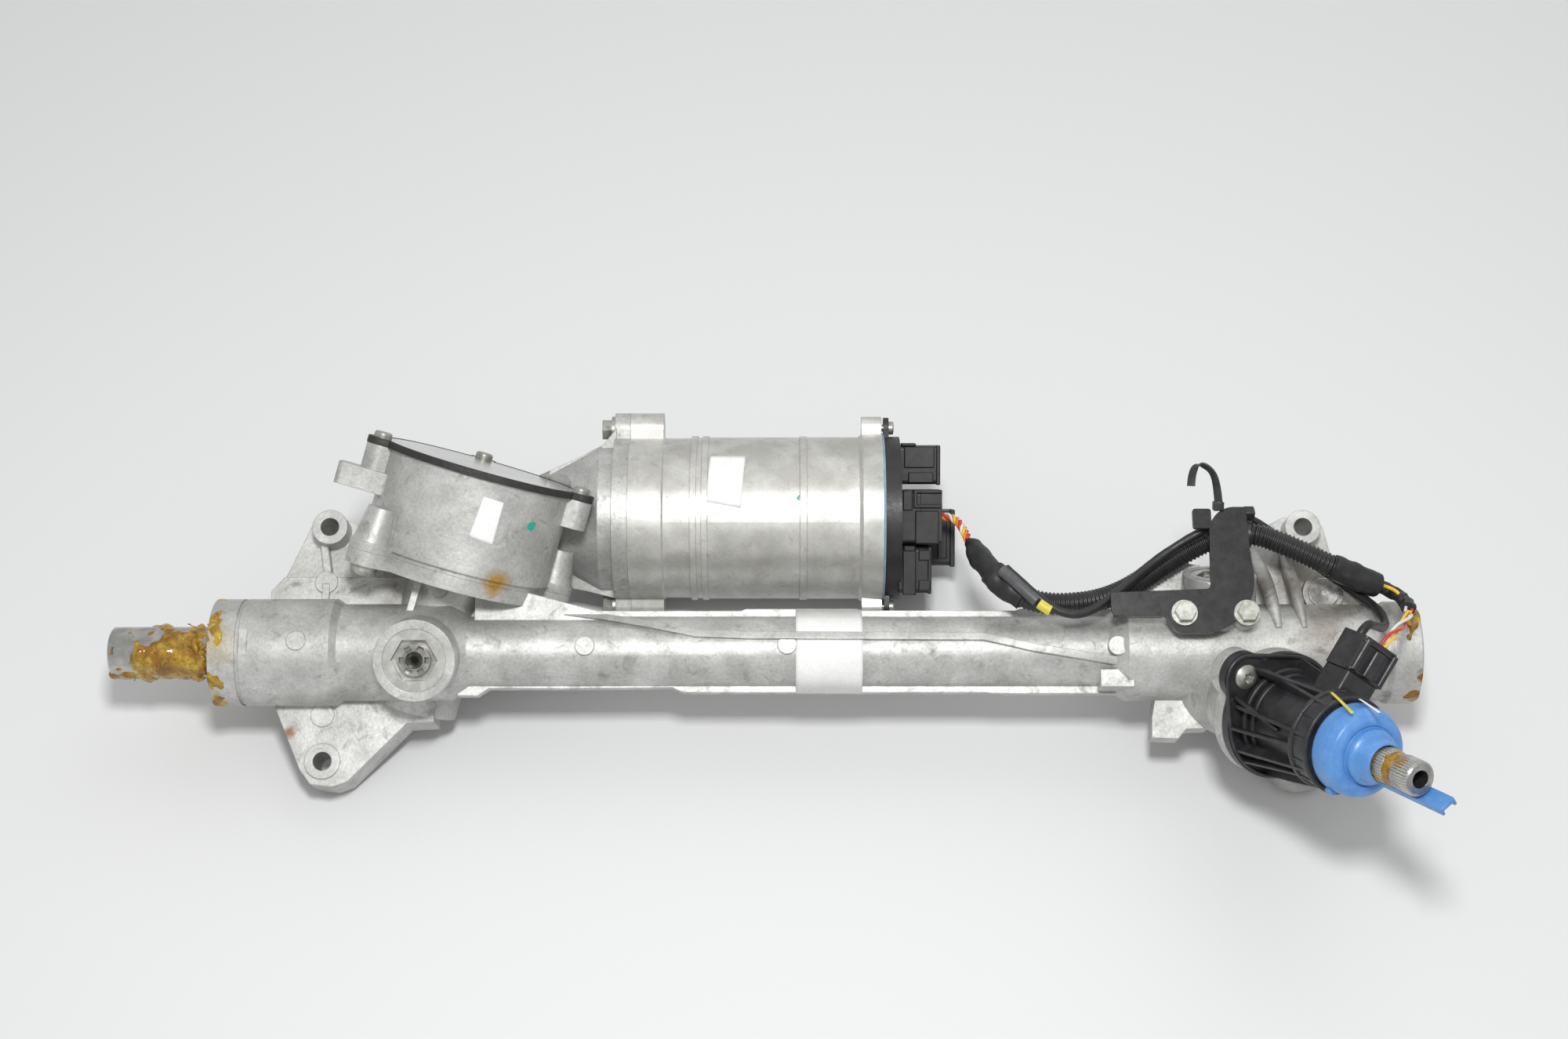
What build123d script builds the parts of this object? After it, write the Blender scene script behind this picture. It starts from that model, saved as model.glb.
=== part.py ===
import math
import os

from build123d import *

os.makedirs("parts", exist_ok=True)

# Electric steering gear with two pinions on one rack. X runs along the rack, Y and Z are set
# by the mounting bosses, and the whole gear is turned by the lie angle when it is written,
# so that it rests on its motor and on the tips of its front lugs.
lie_angle = 22.0

# Fits
run_fit = 0.03
loose_fit = 0.3

# Rack bar
rack_radius = 14.0
rack_length = 702.0
rack_left_x = -58.0
rack_slide_left = 42.0
rack_slide_right = 108.0
rack_thread_radius = 6.9
rack_thread_depth = 24.0
rack_chamfer = 1.2

# Rack housing
housing_length = 654.0
ring_radius = 29.3
ring_band = 14.5
groove_width = 2.0
groove_depth = 0.9
left_barrel_end = 65.0
body_radius = 26.5
left_body_end = 128.0
tube_start = 138.0
tube_radius = 19.6
flange_half_height = 3.0
rib_crest_radius = 22.2
rib_half_width = 2.1
tube_end = 486.0
right_body_start = 496.0
right_ring_start = 636.0
right_ring_radius = 28.0
rack_bore_radius = 15.2
bush_radius = 17.0
bush_length = 14.0
bush_inset = 20.0

# Mounting bosses
mount_left_x = 58.0
mount_right_x = 598.0
mount_upper_y = 70.0
mount_lower_y = -59.0
mount_hole_radius = 5.1
mount_boss_radius = 9.8
lower_ring_height = 1.0
mount_floor_z = -32.0
upper_boss_top_z = 5.0
lower_boss_top_z = -8.0
upper_lug_top_z = -9.0

# Pinions and rack teeth
tooth_module = 1.5
pinion_teeth = 12
pinion_pressure = 25.0
pinion_backlash = 0.2
root_gap = 0.4
pinion_face = 30.0
rack_pitch_height = 9.5
tooth_run_out = 10.0
pinion_bore_radius = 12.5
journal_radius = 8.5
foot_journal_radius = 6.0
foot_bearing_radius = 11.0
foot_bearing_length = 10.0
foot_bearing_start = -30.0
head_bearing_radius = 20.0
head_bearing_length = 12.0
head_bearing_start = 28.0

# Assist side
assist_x = 113.0
assist_tilt = 18.06
assist_cross = 16.2
yoke_radius = 16.0
yoke_boss_radius = 22.0
yoke_boss_height = 40.0
yoke_foot = 5.0
yoke_head = 26.0
yoke_plug_radius = 17.0
yoke_plug_length = 8.5
plug_hex_across = 11.0
plug_recess = 4.5
spring_radius = 6.0
spring_wire = 1.1
spring_turns = 3.0
spring_pocket = 5.0
tower_radius = 24.0
tower_foot = -34.0
joint_face = 48.0
joint_plate = 8.0
joint_radius = 50.0
joint_bolt_reach = 58.0
joint_bolt_angles = (224, 20, 80)
joint_ear_radius = 11.0
joint_boss_top = 72.0

# Worm gear
wheel_teeth = 41
worm_distance = 54.0
wheel_mid = 73.0
wheel_width = 14.0
wheel_pressure = 20.0
wheel_backlash = 0.35
hub_radius = 34.0
hub_core_radius = 14.0
hub_web = 6.0
worm_thread_turns = 2.5
worm_thread_depth = 0.6
worm_bearing_radius = 13.5
worm_bearing_length = 9.0
worm_bearing_offset = 27.5
worm_end_x = 201.0
worm_journal_radius = 5.0
drum_radius = 52.5
drum_bore_radius = 49.6
drum_top = 103.0
drum_floor = 6.0
cover_thickness = 2.6
cover_seal_thickness = 1.0
cover_radius = 54.5
cover_screw_reach = 57.0
cover_screw_angles = (197, 357, 97)
cover_ear_radius = 7.5

# Motor and control unit on the worm's line
worm_tube_radius = 18.5
worm_tube_start = 92.0
neck_start_x = 172.0
neck_end_x = 205.0
neck_radius = 42.0
worm_flange_x = 213.0
motor_face_x = 222.0
motor_flange_end = 241.0
motor_radius = 47.0
motor_wall = 3.0
motor_joint_x = 319.0
control_end_x = 366.0
control_flange_x = 354.5
control_flange_radius = 49.5
control_seal_thickness = 1.2
end_cover_thickness = 9.0
end_cover_radius = 47.0
motor_bolt_reach = 51.0
motor_lug_radius = 9.5
motor_shaft_radius = 6.0
rotor_start_x = 248.0
rotor_end_x = 298.0
rotor_radius = 24.0
stator_bore_radius = 25.0
motor_bearing_radius = 14.0
motor_bearing_length = 8.0
front_bearing_x = 228.0
rear_bearing_x = 305.0
board_x = 336.0

# Steering side
steering_x = 547.4
steering_tilt = 27.0
steering_cross = 22.8
steering_yoke_radius = 15.0
steering_boss_radius = 20.0
steering_boss_height = 44.0
steering_yoke_head = 27.0
steering_plug_radius = 16.0
steering_face = 58.0
sensor_flange_thickness = 5.0
sensor_flange_radius = 34.0
sensor_screw_reach = 34.0
sensor_screw_angle = 135.0
sensor_ear_radius = 13.0
sensor_neck_radius = 20.5
sensor_neck_end = 72.0
sensor_body_radius = 23.0
sensor_rim_radius = 25.0
sensor_rim_base = 108.0
sensor_top = 120.0
sensor_wall = 2.5
sensor_seal_thickness = 1.0
shaft_radius = 8.5
shaft_base = 50.3
shaft_end = 178.0
torsion_radius = 2.6
torsion_foot = 12.0
torsion_head = 150.0
cap_radius = 20.0
cap_base = 120.4
cap_neck_end = 148.0
cap_tongue_end = 191.0

# Harness and its bracket
bracket_thickness = 2.5
bracket_top_z = 38.0
bracket_bolt_xs = (524.0, 557.5)
bracket_bolt_y = 13.5
bracket_bolt_depth = 10.0
conduit_radius = 6.2
cable_radius = 2.5
lead_radius = 3.0
tape_radius = 8.0

# Round plug on the right body
side_plug_spot = (608.2, 33.6)
side_plug_radius = 8.2
side_plug_depth = 5.0
side_plug_z = 0.5


def rad(angle):
    return math.radians(angle)


# Directions of the assist side: its yoke, the line across it, and the wheel's axis and run
rack_dir = Vector(1, 0, 0)
yoke_dir = Vector(0, -math.sin(rad(assist_tilt)), math.cos(rad(assist_tilt)))
across_dir = Vector(0, math.cos(rad(assist_tilt)), math.sin(rad(assist_tilt)))
assist_sin, assist_cos = math.sin(rad(assist_cross)), math.cos(rad(assist_cross))
wheel_dir = rack_dir * assist_sin + across_dir * assist_cos
wheel_run = rack_dir * assist_cos - across_dir * assist_sin

pinion_pitch_radius = tooth_module * pinion_teeth / 2
pinion_offset = rack_pitch_height + pinion_pitch_radius
assist_point = Vector(assist_x, 0, 0)
assist_axis = Plane(
    origin=assist_point - yoke_dir * pinion_offset, x_dir=wheel_run, z_dir=wheel_dir
)
yoke_axis = Plane(origin=assist_point, x_dir=rack_dir, z_dir=yoke_dir)

# A two-start worm meets straight teeth: its pitch radius follows from the lead angle
worm_pitch_radius = 2 * worm_distance / (wheel_teeth * assist_sin + 2)
wheel_module = 2 * (worm_distance - worm_pitch_radius) / wheel_teeth
worm_lead = 2 * math.pi * worm_pitch_radius * math.tan(rad(assist_cross))
worm_point = assist_axis.origin + wheel_dir * wheel_mid - yoke_dir * worm_distance
worm_mid_x = worm_point.X
motor_point = Vector(0, worm_point.Y, worm_point.Z)
motor_axis = Plane(origin=motor_point, x_dir=yoke_dir, z_dir=rack_dir)
motor_side = Plane(origin=motor_point, x_dir=rack_dir, z_dir=across_dir * -1)
motor_line = Axis(motor_point, rack_dir)

# Directions of the steering side: away from its pinion, up the column, and its axis and run
back_dir = Vector(0, math.cos(rad(steering_tilt)), math.sin(rad(steering_tilt)))
rise_dir = Vector(0, -math.sin(rad(steering_tilt)), math.cos(rad(steering_tilt)))
steer_sin, steer_cos = math.sin(rad(steering_cross)), math.cos(rad(steering_cross))
steer_dir = rack_dir * steer_sin + rise_dir * steer_cos
steer_run = rack_dir * steer_cos - rise_dir * steer_sin
steering_point = Vector(steering_x, 0, 0)
steer_axis = Plane(
    origin=steering_point - back_dir * pinion_offset, x_dir=steer_run, z_dir=steer_dir
)
steer_side = Plane(origin=steer_axis.origin, x_dir=steer_dir, z_dir=steer_run * -1)
steer_line = Axis(steer_axis.origin, steer_dir)
steer_yoke_axis = Plane(origin=steering_point, x_dir=rack_dir, z_dir=back_dir)


def save(piece, label):
    piece.part.label = label
    placed = piece.part.moved(Location((0, 0, 0), (lie_angle, 0, 0)))
    placed.label = label
    export_step(placed, f"parts/{label}.step")


def bar_along(plane, start, end, radius, mode=Mode.ADD):
    # A round bar on a plane's normal between two heights
    with BuildSketch(plane.offset(start)) as section:
        Circle(radius)
    extrude(section.sketch, amount=end - start, mode=mode)


def cone_along(plane, start, end, start_radius, end_radius, mode=Mode.ADD):
    with BuildSketch(plane.offset(start)) as near_end:
        Circle(start_radius)
    with BuildSketch(plane.offset(end)) as far_end:
        Circle(end_radius)
    loft([near_end.sketch, far_end.sketch], mode=mode)


def ring_along(plane, start, end, outer, inner):
    with BuildSketch(plane.offset(start)) as section:
        Circle(outer)
        Circle(inner, mode=Mode.SUBTRACT)
    extrude(section.sketch, amount=end - start)


def eared_sketch(radius, reach, angles, ear_radius):
    # A round outline blended to its ears, as one hull for each ear
    Circle(radius)
    for angle in angles:
        with PolarLocations(reach, 1, start_angle=angle):
            Circle(ear_radius)
        with PolarLocations(reach / 2, 1, start_angle=angle):
            Rectangle(reach, 2 * ear_radius)


def polar(radius, angle):
    return (radius * math.cos(angle), radius * math.sin(angle))


def spur_outline(teeth, module, pressure, backlash, turn):
    # Involute spur gear in the current sketch, with a tooth centred on the turn angle
    pitch_radius = module * teeth / 2
    base_radius = pitch_radius * math.cos(rad(pressure))
    tip = pitch_radius + module
    root = pitch_radius - module - root_gap
    start = max(base_radius, root)
    middle = (start + tip) / 2
    involute_at_pitch = math.tan(rad(pressure)) - rad(pressure)
    half_tooth = math.pi / (2 * teeth) - backlash / (4 * pitch_radius)

    def half_angle(radius):
        roll = math.acos(min(1.0, base_radius / radius))
        return half_tooth + involute_at_pitch - (math.tan(roll) - roll)

    low, mid, top = half_angle(start), half_angle(middle), half_angle(tip)
    with BuildLine() as outline:
        for index in range(teeth):
            centre = rad(turn) + 2 * math.pi * index / teeth
            following = centre + 2 * math.pi / teeth
            ThreePointArc(
                polar(start, centre - low), polar(middle, centre - mid), polar(tip, centre - top)
            )
            ThreePointArc(polar(tip, centre - top), polar(tip, centre), polar(tip, centre + top))
            ThreePointArc(
                polar(tip, centre + top), polar(middle, centre + mid), polar(start, centre + low)
            )
            if root < base_radius:
                Line(polar(start, centre + low), polar(root, centre + low))
                Line(polar(root, following - low), polar(start, following - low))
            ThreePointArc(
                polar(root, centre + low), polar(root, (centre + following) / 2),
                polar(root, following - low),
            )
    make_face(outline.line)


def rack_teeth(plane, side, cross_cos, left_reach, right_reach):
    # Cuts the tooth gaps and the flat over them, as one prism along the pinion's axis
    pitch = math.pi * tooth_module
    slope = math.tan(rad(pinion_pressure))
    root = tooth_module + root_gap
    over = rack_radius
    first = -round(left_reach * cross_cos / pitch)
    last = round(right_reach * cross_cos / pitch)
    root_half, tip_half = pitch / 4 - root * slope, pitch / 4 + tooth_module * slope
    root_y = side * (pinion_pitch_radius + root)
    tip_y = side * (pinion_pitch_radius - tooth_module)
    with BuildSketch(plane) as comb:
        for index in range(first, last + 1):
            with Locations((index * pitch, 0)):
                Polygon(
                    (-root_half, root_y), (root_half, root_y), (tip_half, tip_y), (-tip_half, tip_y),
                    align=None,
                )
        with Locations(((first + last) / 2 * pitch, tip_y - side * over / 2)):
            Rectangle((last - first + 1) * pitch, over)
    reach = 2 * rack_radius + left_reach * math.sqrt(1 - cross_cos**2)
    extrude(comb.sketch, amount=reach, both=True, mode=Mode.SUBTRACT)


# Rack bar with two toothed lengths, one for each pinion
with BuildPart() as rack_bar:
    with BuildSketch(Plane.YZ.offset(rack_left_x)):
        Circle(rack_radius)
    extrude(amount=rack_length)
    chamfer(rack_bar.edges().filter_by(GeomType.CIRCLE), rack_chamfer)
    rack_teeth(assist_axis, -1, assist_cos, rack_slide_right + tooth_run_out,
               rack_slide_left + tooth_run_out)
    rack_teeth(steer_axis, 1, steer_cos, rack_slide_right + tooth_run_out,
               rack_slide_left + tooth_run_out)
    bar_along(Plane.YZ, rack_left_x, rack_left_x + rack_thread_depth, rack_thread_radius, Mode.SUBTRACT)
    rack_right_x = rack_left_x + rack_length
    bar_along(Plane.YZ, rack_right_x - rack_thread_depth, rack_right_x, rack_thread_radius,
              Mode.SUBTRACT)
save(rack_bar, "rack_bar")

for label, start in (("left_rack_bush", bush_inset),
                     ("right_rack_bush", housing_length - bush_inset - bush_length)):
    with BuildPart() as bush:
        ring_along(Plane.YZ, start, start + bush_length, bush_radius, rack_radius + run_fit)
    save(bush, label)


# Long rib: a band over the tube, trimmed to stand proud of it by the same height all along
rib_line = [
    (190, 20.5), (208, 18), (235, 12.4), (262, 6.5), (290, 5.4), (418, 4.6), (445, -1.6), (492, -9),
    (516, -14),
]
with BuildPart() as long_rib:
    with BuildSketch(Plane.XY):
        with BuildLine():
            Polyline(
                *[(x, y + rib_half_width) for x, y in rib_line],
                *[(x, y - rib_half_width) for x, y in reversed(rib_line)],
                close=True,
            )
        make_face()
    extrude(amount=rib_crest_radius + 2)
    with BuildSketch(Plane.YZ.offset(rib_line[0][0])):
        Circle(rib_crest_radius)
    extrude(amount=rib_line[-1][0] - rib_line[0][0], mode=Mode.INTERSECT)

# Pads: middle, base, top and radius. Ribs and blocks: base, top and outline
ejector_pads = (
    (47.8, 0.4, 20, 29.8, 5.2), (57.3, 39, -20, 3.0, 6.2), (56.8, -33.6, -20, -7.2, 6.4),
    (202.1, -0.4, 10, 20.4, 5.2), (311.7, 0.2, 10, 20.4, 5.2), (490.2, -1.0, 14, 24.4, 5.2),
    (610.7, 0.9, 16, 27.1, 5.2), (122.0, 31.6, 0, 20, 4.6),
)
short_ribs = (
    (-20, -2, ((52, 62), (56, 62), (59.2, 43), (55.2, 43))),
    (-20, 3.4, ((55.4, 38), (59.2, 38), (59.2, 26), (55.4, 26))),
    (0, 18, ((103.4, 15), (107.2, 15), (113.8, 41), (110, 42))),
    (-14, 0, ((513.9, -20), (510.6, -36.1), (510.2, -47.4), (524.7, -47.7), (528.9, -42.5), (541, -42),
              (545, -20))),
    (-4, 4.5, ((490, 18), (492.9, 35), (495, 39.6), (503.9, 45.2), (514.6, 49.2), (523.1, 51), (540, 48),
               (545, 18))),
    (4, 18.5, ((481, -13), (481, -22.5), (499, -22.5), (499, -13))),
)
collar_slot_z = 28.5

# Rack housing: one casting with the tube, both pinion towers, the yoke bosses and the lugs
plug_top = yoke_boss_height - 0.5
with BuildPart() as rack_housing:
    with BuildSketch(Plane.XY):
        with BuildLine():
            Polyline(
                (0, 0), (0, ring_radius), (ring_band, ring_radius),
                (ring_band, ring_radius - groove_depth),
                (ring_band + groove_width, ring_radius - groove_depth),
                (ring_band + groove_width, ring_radius), (left_barrel_end, ring_radius),
                (left_barrel_end + 4, body_radius), (left_body_end, body_radius),
                (tube_start, tube_radius), (tube_end, tube_radius),
                (right_body_start, body_radius), (right_ring_start, body_radius),
                (right_ring_start + 3, right_ring_radius), (housing_length - 0.8, right_ring_radius),
                (housing_length, right_ring_radius - 0.8), (housing_length, 0), (0, 0),
            )
        make_face()
    revolve(axis=Axis.X)

    # Assist tower, its joint plate and the yoke boss
    bar_along(assist_axis, tower_foot, joint_face, tower_radius)
    with BuildSketch(assist_axis.offset(joint_face - joint_plate)):
        eared_sketch(joint_radius, joint_bolt_reach, joint_bolt_angles, joint_ear_radius)
    extrude(amount=joint_plate)
    bar_along(yoke_axis, 0, yoke_boss_height, yoke_boss_radius)

    # Upper left block and lug
    with BuildSketch(Plane.XY.offset(mount_floor_z + 4)):
        with BuildLine():
            Polyline((28, 10), (28, 36), (33, 46), (46, 76), (60, 79.5), (73, 74), (80, 52), (150, 44),
                     (160, 10), (28, 10))
        make_face()
    extrude(amount=upper_lug_top_z - mount_floor_z - 4)
    with BuildSketch(Plane.XY.offset(mount_floor_z + 4)):
        with BuildLine():
            Polyline((27, 0), (27, 34), (34, 42), (142, 42), (147, 36), (147, 0), (27, 0))
        make_face()
    extrude(amount=30)
    with BuildSketch(Plane.XY.offset(mount_floor_z)):
        with Locations((mount_left_x, mount_upper_y)):
            Circle(mount_boss_radius)
    extrude(amount=upper_boss_top_z - mount_floor_z)

    # Lower lugs
    for lug_x, inner_x in ((mount_left_x, 118), (mount_right_x, 538)):
        lean = 1 if inner_x > lug_x else -1
        with BuildSketch(Plane.XY.offset(mount_floor_z)):
            with BuildLine():
                Polyline(
                    (lug_x - lean * 28, -12), (lug_x - lean * 28, -28), (lug_x - lean * 12, -64),
                    (lug_x - lean * 6, -71.5), (lug_x + lean * 6, -73), (lug_x + lean * 14, -70),
                    (lug_x + lean * 45, -38), (inner_x, -37), (inner_x, -12), (lug_x - lean * 28, -12),
                )
            make_face()
        extrude(amount=lower_boss_top_z - mount_floor_z)
        with BuildSketch(Plane.XY.offset(lower_boss_top_z - 2)):
            with Locations((lug_x, mount_lower_y)):
                Circle(mount_boss_radius)
        extrude(amount=2 + lower_ring_height)

    # Steering tower, its face and the steering yoke boss
    bar_along(steer_axis, tower_foot, steering_face, tower_radius)
    with BuildSketch(steer_axis.offset(steering_face - 7)):
        eared_sketch(sensor_flange_radius, sensor_screw_reach,
                     (sensor_screw_angle, sensor_screw_angle + 180), sensor_ear_radius)
    extrude(amount=7)
    with BuildSketch(steer_axis.offset(steering_face - 30)):
        Circle(tower_radius)
    with BuildSketch(steer_axis.offset(steering_face - 6)):
        Circle(sensor_flange_radius)
    loft()
    bar_along(steer_yoke_axis, 0, steering_boss_height, steering_boss_radius)

    # Upper right lug, and the web towards the bracket
    with BuildSketch(Plane.XY.offset(mount_floor_z + 4)):
        with BuildLine():
            Polyline((500, 10), (500, 40), (560, 50), (580, 74), (590, 79), (604, 80), (612, 74), (616, 56),
                     (right_ring_start, 42), (right_ring_start, 10), (500, 10))
        make_face()
    extrude(amount=upper_lug_top_z - mount_floor_z - 4)
    with BuildSketch(Plane.XY.offset(mount_floor_z)):
        with Locations((mount_right_x, mount_upper_y)):
            Circle(mount_boss_radius)
    extrude(amount=upper_boss_top_z - mount_floor_z)

    # Boss of the round plug beside the lug
    with BuildSketch(Plane.XY.offset(mount_floor_z + 4)):
        with Locations(side_plug_spot):
            Circle(side_plug_radius + 3)
    extrude(amount=side_plug_z - 1 - mount_floor_z - 4)
    with BuildSketch(Plane.XY.offset(side_plug_z - side_plug_depth)):
        with Locations(side_plug_spot):
            Circle(side_plug_radius)
    extrude(amount=side_plug_depth, mode=Mode.SUBTRACT)

    # Bosses under the bracket
    with BuildSketch(Plane.XY.offset(8)):
        with Locations(*[(bolt_x, bracket_bolt_y) for bolt_x in bracket_bolt_xs]):
            Circle(7)
    extrude(amount=bracket_top_z - bracket_thickness - 8)

    # Parting flanges along the tube, wider where the die was let in
    with BuildSketch(Plane.XY.offset(-flange_half_height)):
        with BuildLine():
            Polyline(
                (132, 0), (132, -24.6), (143, -24.6), (149, -20.6), (196, -20.6), (249, -20.0), (255, -22.8),
                (420, -22.8), (424, -23.4), (500, -23.4), (500, 0), (500, 24), (440, 24), (437, 22.9),
                (353, 22.9), (350, 23.8), (289, 23.8), (286, 22.7), (150, 22.7), (132, 22.7), (132, 0),
            )
        make_face()
    extrude(amount=2 * flange_half_height)

    # Long rib that runs down from the gearbox joint, along the tube and under the sensor tower
    add(long_rib.part)
    with BuildSketch(Plane.XY.offset(2)):
        with BuildLine():
            Polyline((141, 37), (160, 33.5), (186, 26.5), (214, 19), (214, 8), (141, 8), (141, 37))
        make_face()
    extrude(amount=10)

    # Ejector pads, pins and short ribs of the casting
    for pad_x, pad_y, base_z, top_z, pad_radius in ejector_pads:
        with BuildSketch(Plane.XY.offset(base_z)):
            with Locations((pad_x, pad_y)):
                Circle(pad_radius)
        extrude(amount=top_z - base_z)
    for base_z, top_z, corners in short_ribs:
        with BuildSketch(Plane.XY.offset(base_z)):
            Polygon(*corners, align=None)
        extrude(amount=top_z - base_z)

    # Bores and cavities
    with BuildSketch(Plane.XY.offset(collar_slot_z)):
        with Locations((19.2, -2.2)):
            Rectangle(4.4, 23.6)
    extrude(amount=3, mode=Mode.SUBTRACT)
    bar_along(Plane.YZ, 0, housing_length, rack_bore_radius, Mode.SUBTRACT)
    bar_along(Plane.YZ, 0, bush_inset + bush_length, bush_radius, Mode.SUBTRACT)
    bar_along(Plane.YZ, housing_length - bush_inset - bush_length, housing_length, bush_radius,
              Mode.SUBTRACT)
    for axis_plane, face in ((assist_axis, joint_face), (steer_axis, steering_face)):
        bar_along(axis_plane, foot_bearing_start, foot_bearing_start + foot_bearing_length,
                  foot_bearing_radius, Mode.SUBTRACT)
        bar_along(axis_plane, foot_bearing_start, head_bearing_start, pinion_bore_radius - 1.6,
                  Mode.SUBTRACT)
        bar_along(axis_plane, -pinion_face / 2 - 1, head_bearing_start, pinion_bore_radius,
                  Mode.SUBTRACT)
        bar_along(axis_plane, head_bearing_start, face, head_bearing_radius, Mode.SUBTRACT)
    bar_along(yoke_axis, 0, yoke_boss_height, yoke_radius + loose_fit / 6, Mode.SUBTRACT)
    bar_along(yoke_axis, plug_top - yoke_plug_length, yoke_boss_height, yoke_plug_radius,
              Mode.SUBTRACT)
    bar_along(steer_yoke_axis, 0, steering_boss_height, steering_yoke_radius + loose_fit / 6,
              Mode.SUBTRACT)
    bar_along(steer_yoke_axis, steering_boss_height - 0.5 - yoke_plug_length, steering_boss_height,
              steering_plug_radius, Mode.SUBTRACT)

    # Flat under the bracket
    with BuildSketch(Plane.XY.offset(bracket_top_z - bracket_thickness)):
        with Locations((525, 38)):
            Rectangle(90, 74)
    extrude(amount=12, mode=Mode.SUBTRACT)

    # Mounting holes and the bracket's bolt holes
    with BuildSketch(Plane.XY.offset(mount_floor_z)):
        with Locations((mount_left_x, mount_upper_y), (mount_right_x, mount_upper_y),
                       (mount_left_x, mount_lower_y), (mount_right_x, mount_lower_y)):
            Circle(mount_hole_radius)
    extrude(amount=upper_boss_top_z - mount_floor_z, mode=Mode.SUBTRACT)
    with BuildSketch(Plane.XY.offset(bracket_top_z - bracket_thickness - bracket_bolt_depth)):
        with Locations(*[(bolt_x, bracket_bolt_y) for bolt_x in bracket_bolt_xs]):
            Circle(3.05)
    extrude(amount=bracket_bolt_depth, mode=Mode.SUBTRACT)
    for angle in joint_bolt_angles:
        with BuildSketch(assist_axis.offset(joint_face - joint_plate)):
            with PolarLocations(joint_bolt_reach, 1, start_angle=angle):
                Circle(4.1)
        extrude(amount=joint_plate, mode=Mode.SUBTRACT)
    with BuildSketch(steer_axis.offset(steering_face - 14)):
        with PolarLocations(sensor_screw_reach, 2, start_angle=sensor_screw_angle):
            Circle(2.55)
    extrude(amount=14, mode=Mode.SUBTRACT)
save(rack_housing, "rack_housing")


# Yokes that press the rack to its pinions, each with a spring and a screwed plug
def rack_yoke(plane, radius, head):
    bar_along(plane, yoke_foot, head, radius)
    bar_along(Plane.YZ, 0, housing_length, rack_radius + 2 * run_fit, Mode.SUBTRACT)
    bar_along(plane, head - spring_pocket, head, spring_radius + 2.2, Mode.SUBTRACT)


def yoke_plug(plane, radius, top):
    bar_along(plane, top - yoke_plug_length, top, radius)
    with BuildSketch(plane.offset(top - plug_recess)) as socket:
        RegularPolygon(plug_hex_across, 6, major_radius=False)
    extrude(socket.sketch, amount=plug_recess, mode=Mode.SUBTRACT)
    ring_along(plane, top - plug_recess, top - 1.0, 8.6, 4.6)
    for index in range(6):
        with BuildSketch(plane.offset(top - plug_recess + 0.8)) as slot:
            with PolarLocations(6.8, 1, start_angle=60 * index):
                Rectangle(2.6, 3.4)
        extrude(slot.sketch, amount=plug_recess, mode=Mode.SUBTRACT)


with BuildPart() as assist_yoke:
    rack_yoke(yoke_axis, yoke_radius, yoke_head)
save(assist_yoke, "assist_yoke")
with BuildPart() as assist_yoke_plug:
    yoke_plug(yoke_axis, yoke_plug_radius - 0.01, plug_top)
save(assist_yoke_plug, "assist_yoke_plug")
with BuildPart() as steering_yoke:
    rack_yoke(steer_yoke_axis, steering_yoke_radius, steering_yoke_head)
save(steering_yoke, "steering_yoke")
with BuildPart() as steering_yoke_plug:
    yoke_plug(steer_yoke_axis, steering_plug_radius - 0.01, steering_boss_height - 0.5)
save(steering_yoke_plug, "steering_yoke_plug")

for label, plane, head, top in (
    ("assist_yoke_spring", yoke_axis, yoke_head, plug_top),
    ("steering_yoke_spring", steer_yoke_axis, steering_yoke_head, steering_boss_height - 0.5),
):
    low = head - spring_pocket + spring_wire + loose_fit
    high = top - yoke_plug_length - spring_wire - loose_fit
    with BuildPart() as coil:
        with BuildLine() as winding:
            Helix(pitch=(high - low) / spring_turns, height=high - low, radius=spring_radius)
        with BuildSketch(Plane(origin=winding.line @ 0, z_dir=winding.line % 0)):
            Circle(spring_wire)
        sweep(is_frenet=True)
    with BuildPart() as spring:
        add(coil.part.moved(plane.offset(low).location))
    save(spring, label)


# Assist pinion with the wheel on its shaft
with BuildPart() as assist_pinion:
    bar_along(assist_axis, foot_bearing_start, -pinion_face / 2, foot_journal_radius)
    with BuildSketch(assist_axis.offset(-pinion_face / 2)):
        spur_outline(pinion_teeth, tooth_module, pinion_pressure, pinion_backlash, -90)
    extrude(amount=pinion_face)
    bar_along(assist_axis, pinion_face / 2, wheel_mid + wheel_width / 2 + 6, journal_radius)
    chamfer(assist_pinion.edges().group_by(Axis(assist_axis.origin, wheel_dir))[-1], 1.0)
save(assist_pinion, "assist_pinion")

with BuildPart() as wheel_hub:
    ring_along(assist_axis, wheel_mid - wheel_width / 2 - 3, wheel_mid + wheel_width / 2 + 3,
               hub_core_radius, journal_radius)
    ring_along(assist_axis, wheel_mid - hub_web / 2, wheel_mid + hub_web / 2, hub_radius, journal_radius)
    ring_along(assist_axis, wheel_mid - wheel_width / 2, wheel_mid + wheel_width / 2,
               hub_radius, hub_radius - 4)
save(wheel_hub, "wheel_hub")

with BuildPart() as worm_wheel:
    with BuildSketch(assist_axis.offset(wheel_mid - wheel_width / 2)):
        spur_outline(wheel_teeth, wheel_module, wheel_pressure, wheel_backlash, 90)
        Circle(hub_radius, mode=Mode.SUBTRACT)
    extrude(amount=wheel_width)
save(worm_wheel, "worm_wheel")


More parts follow.
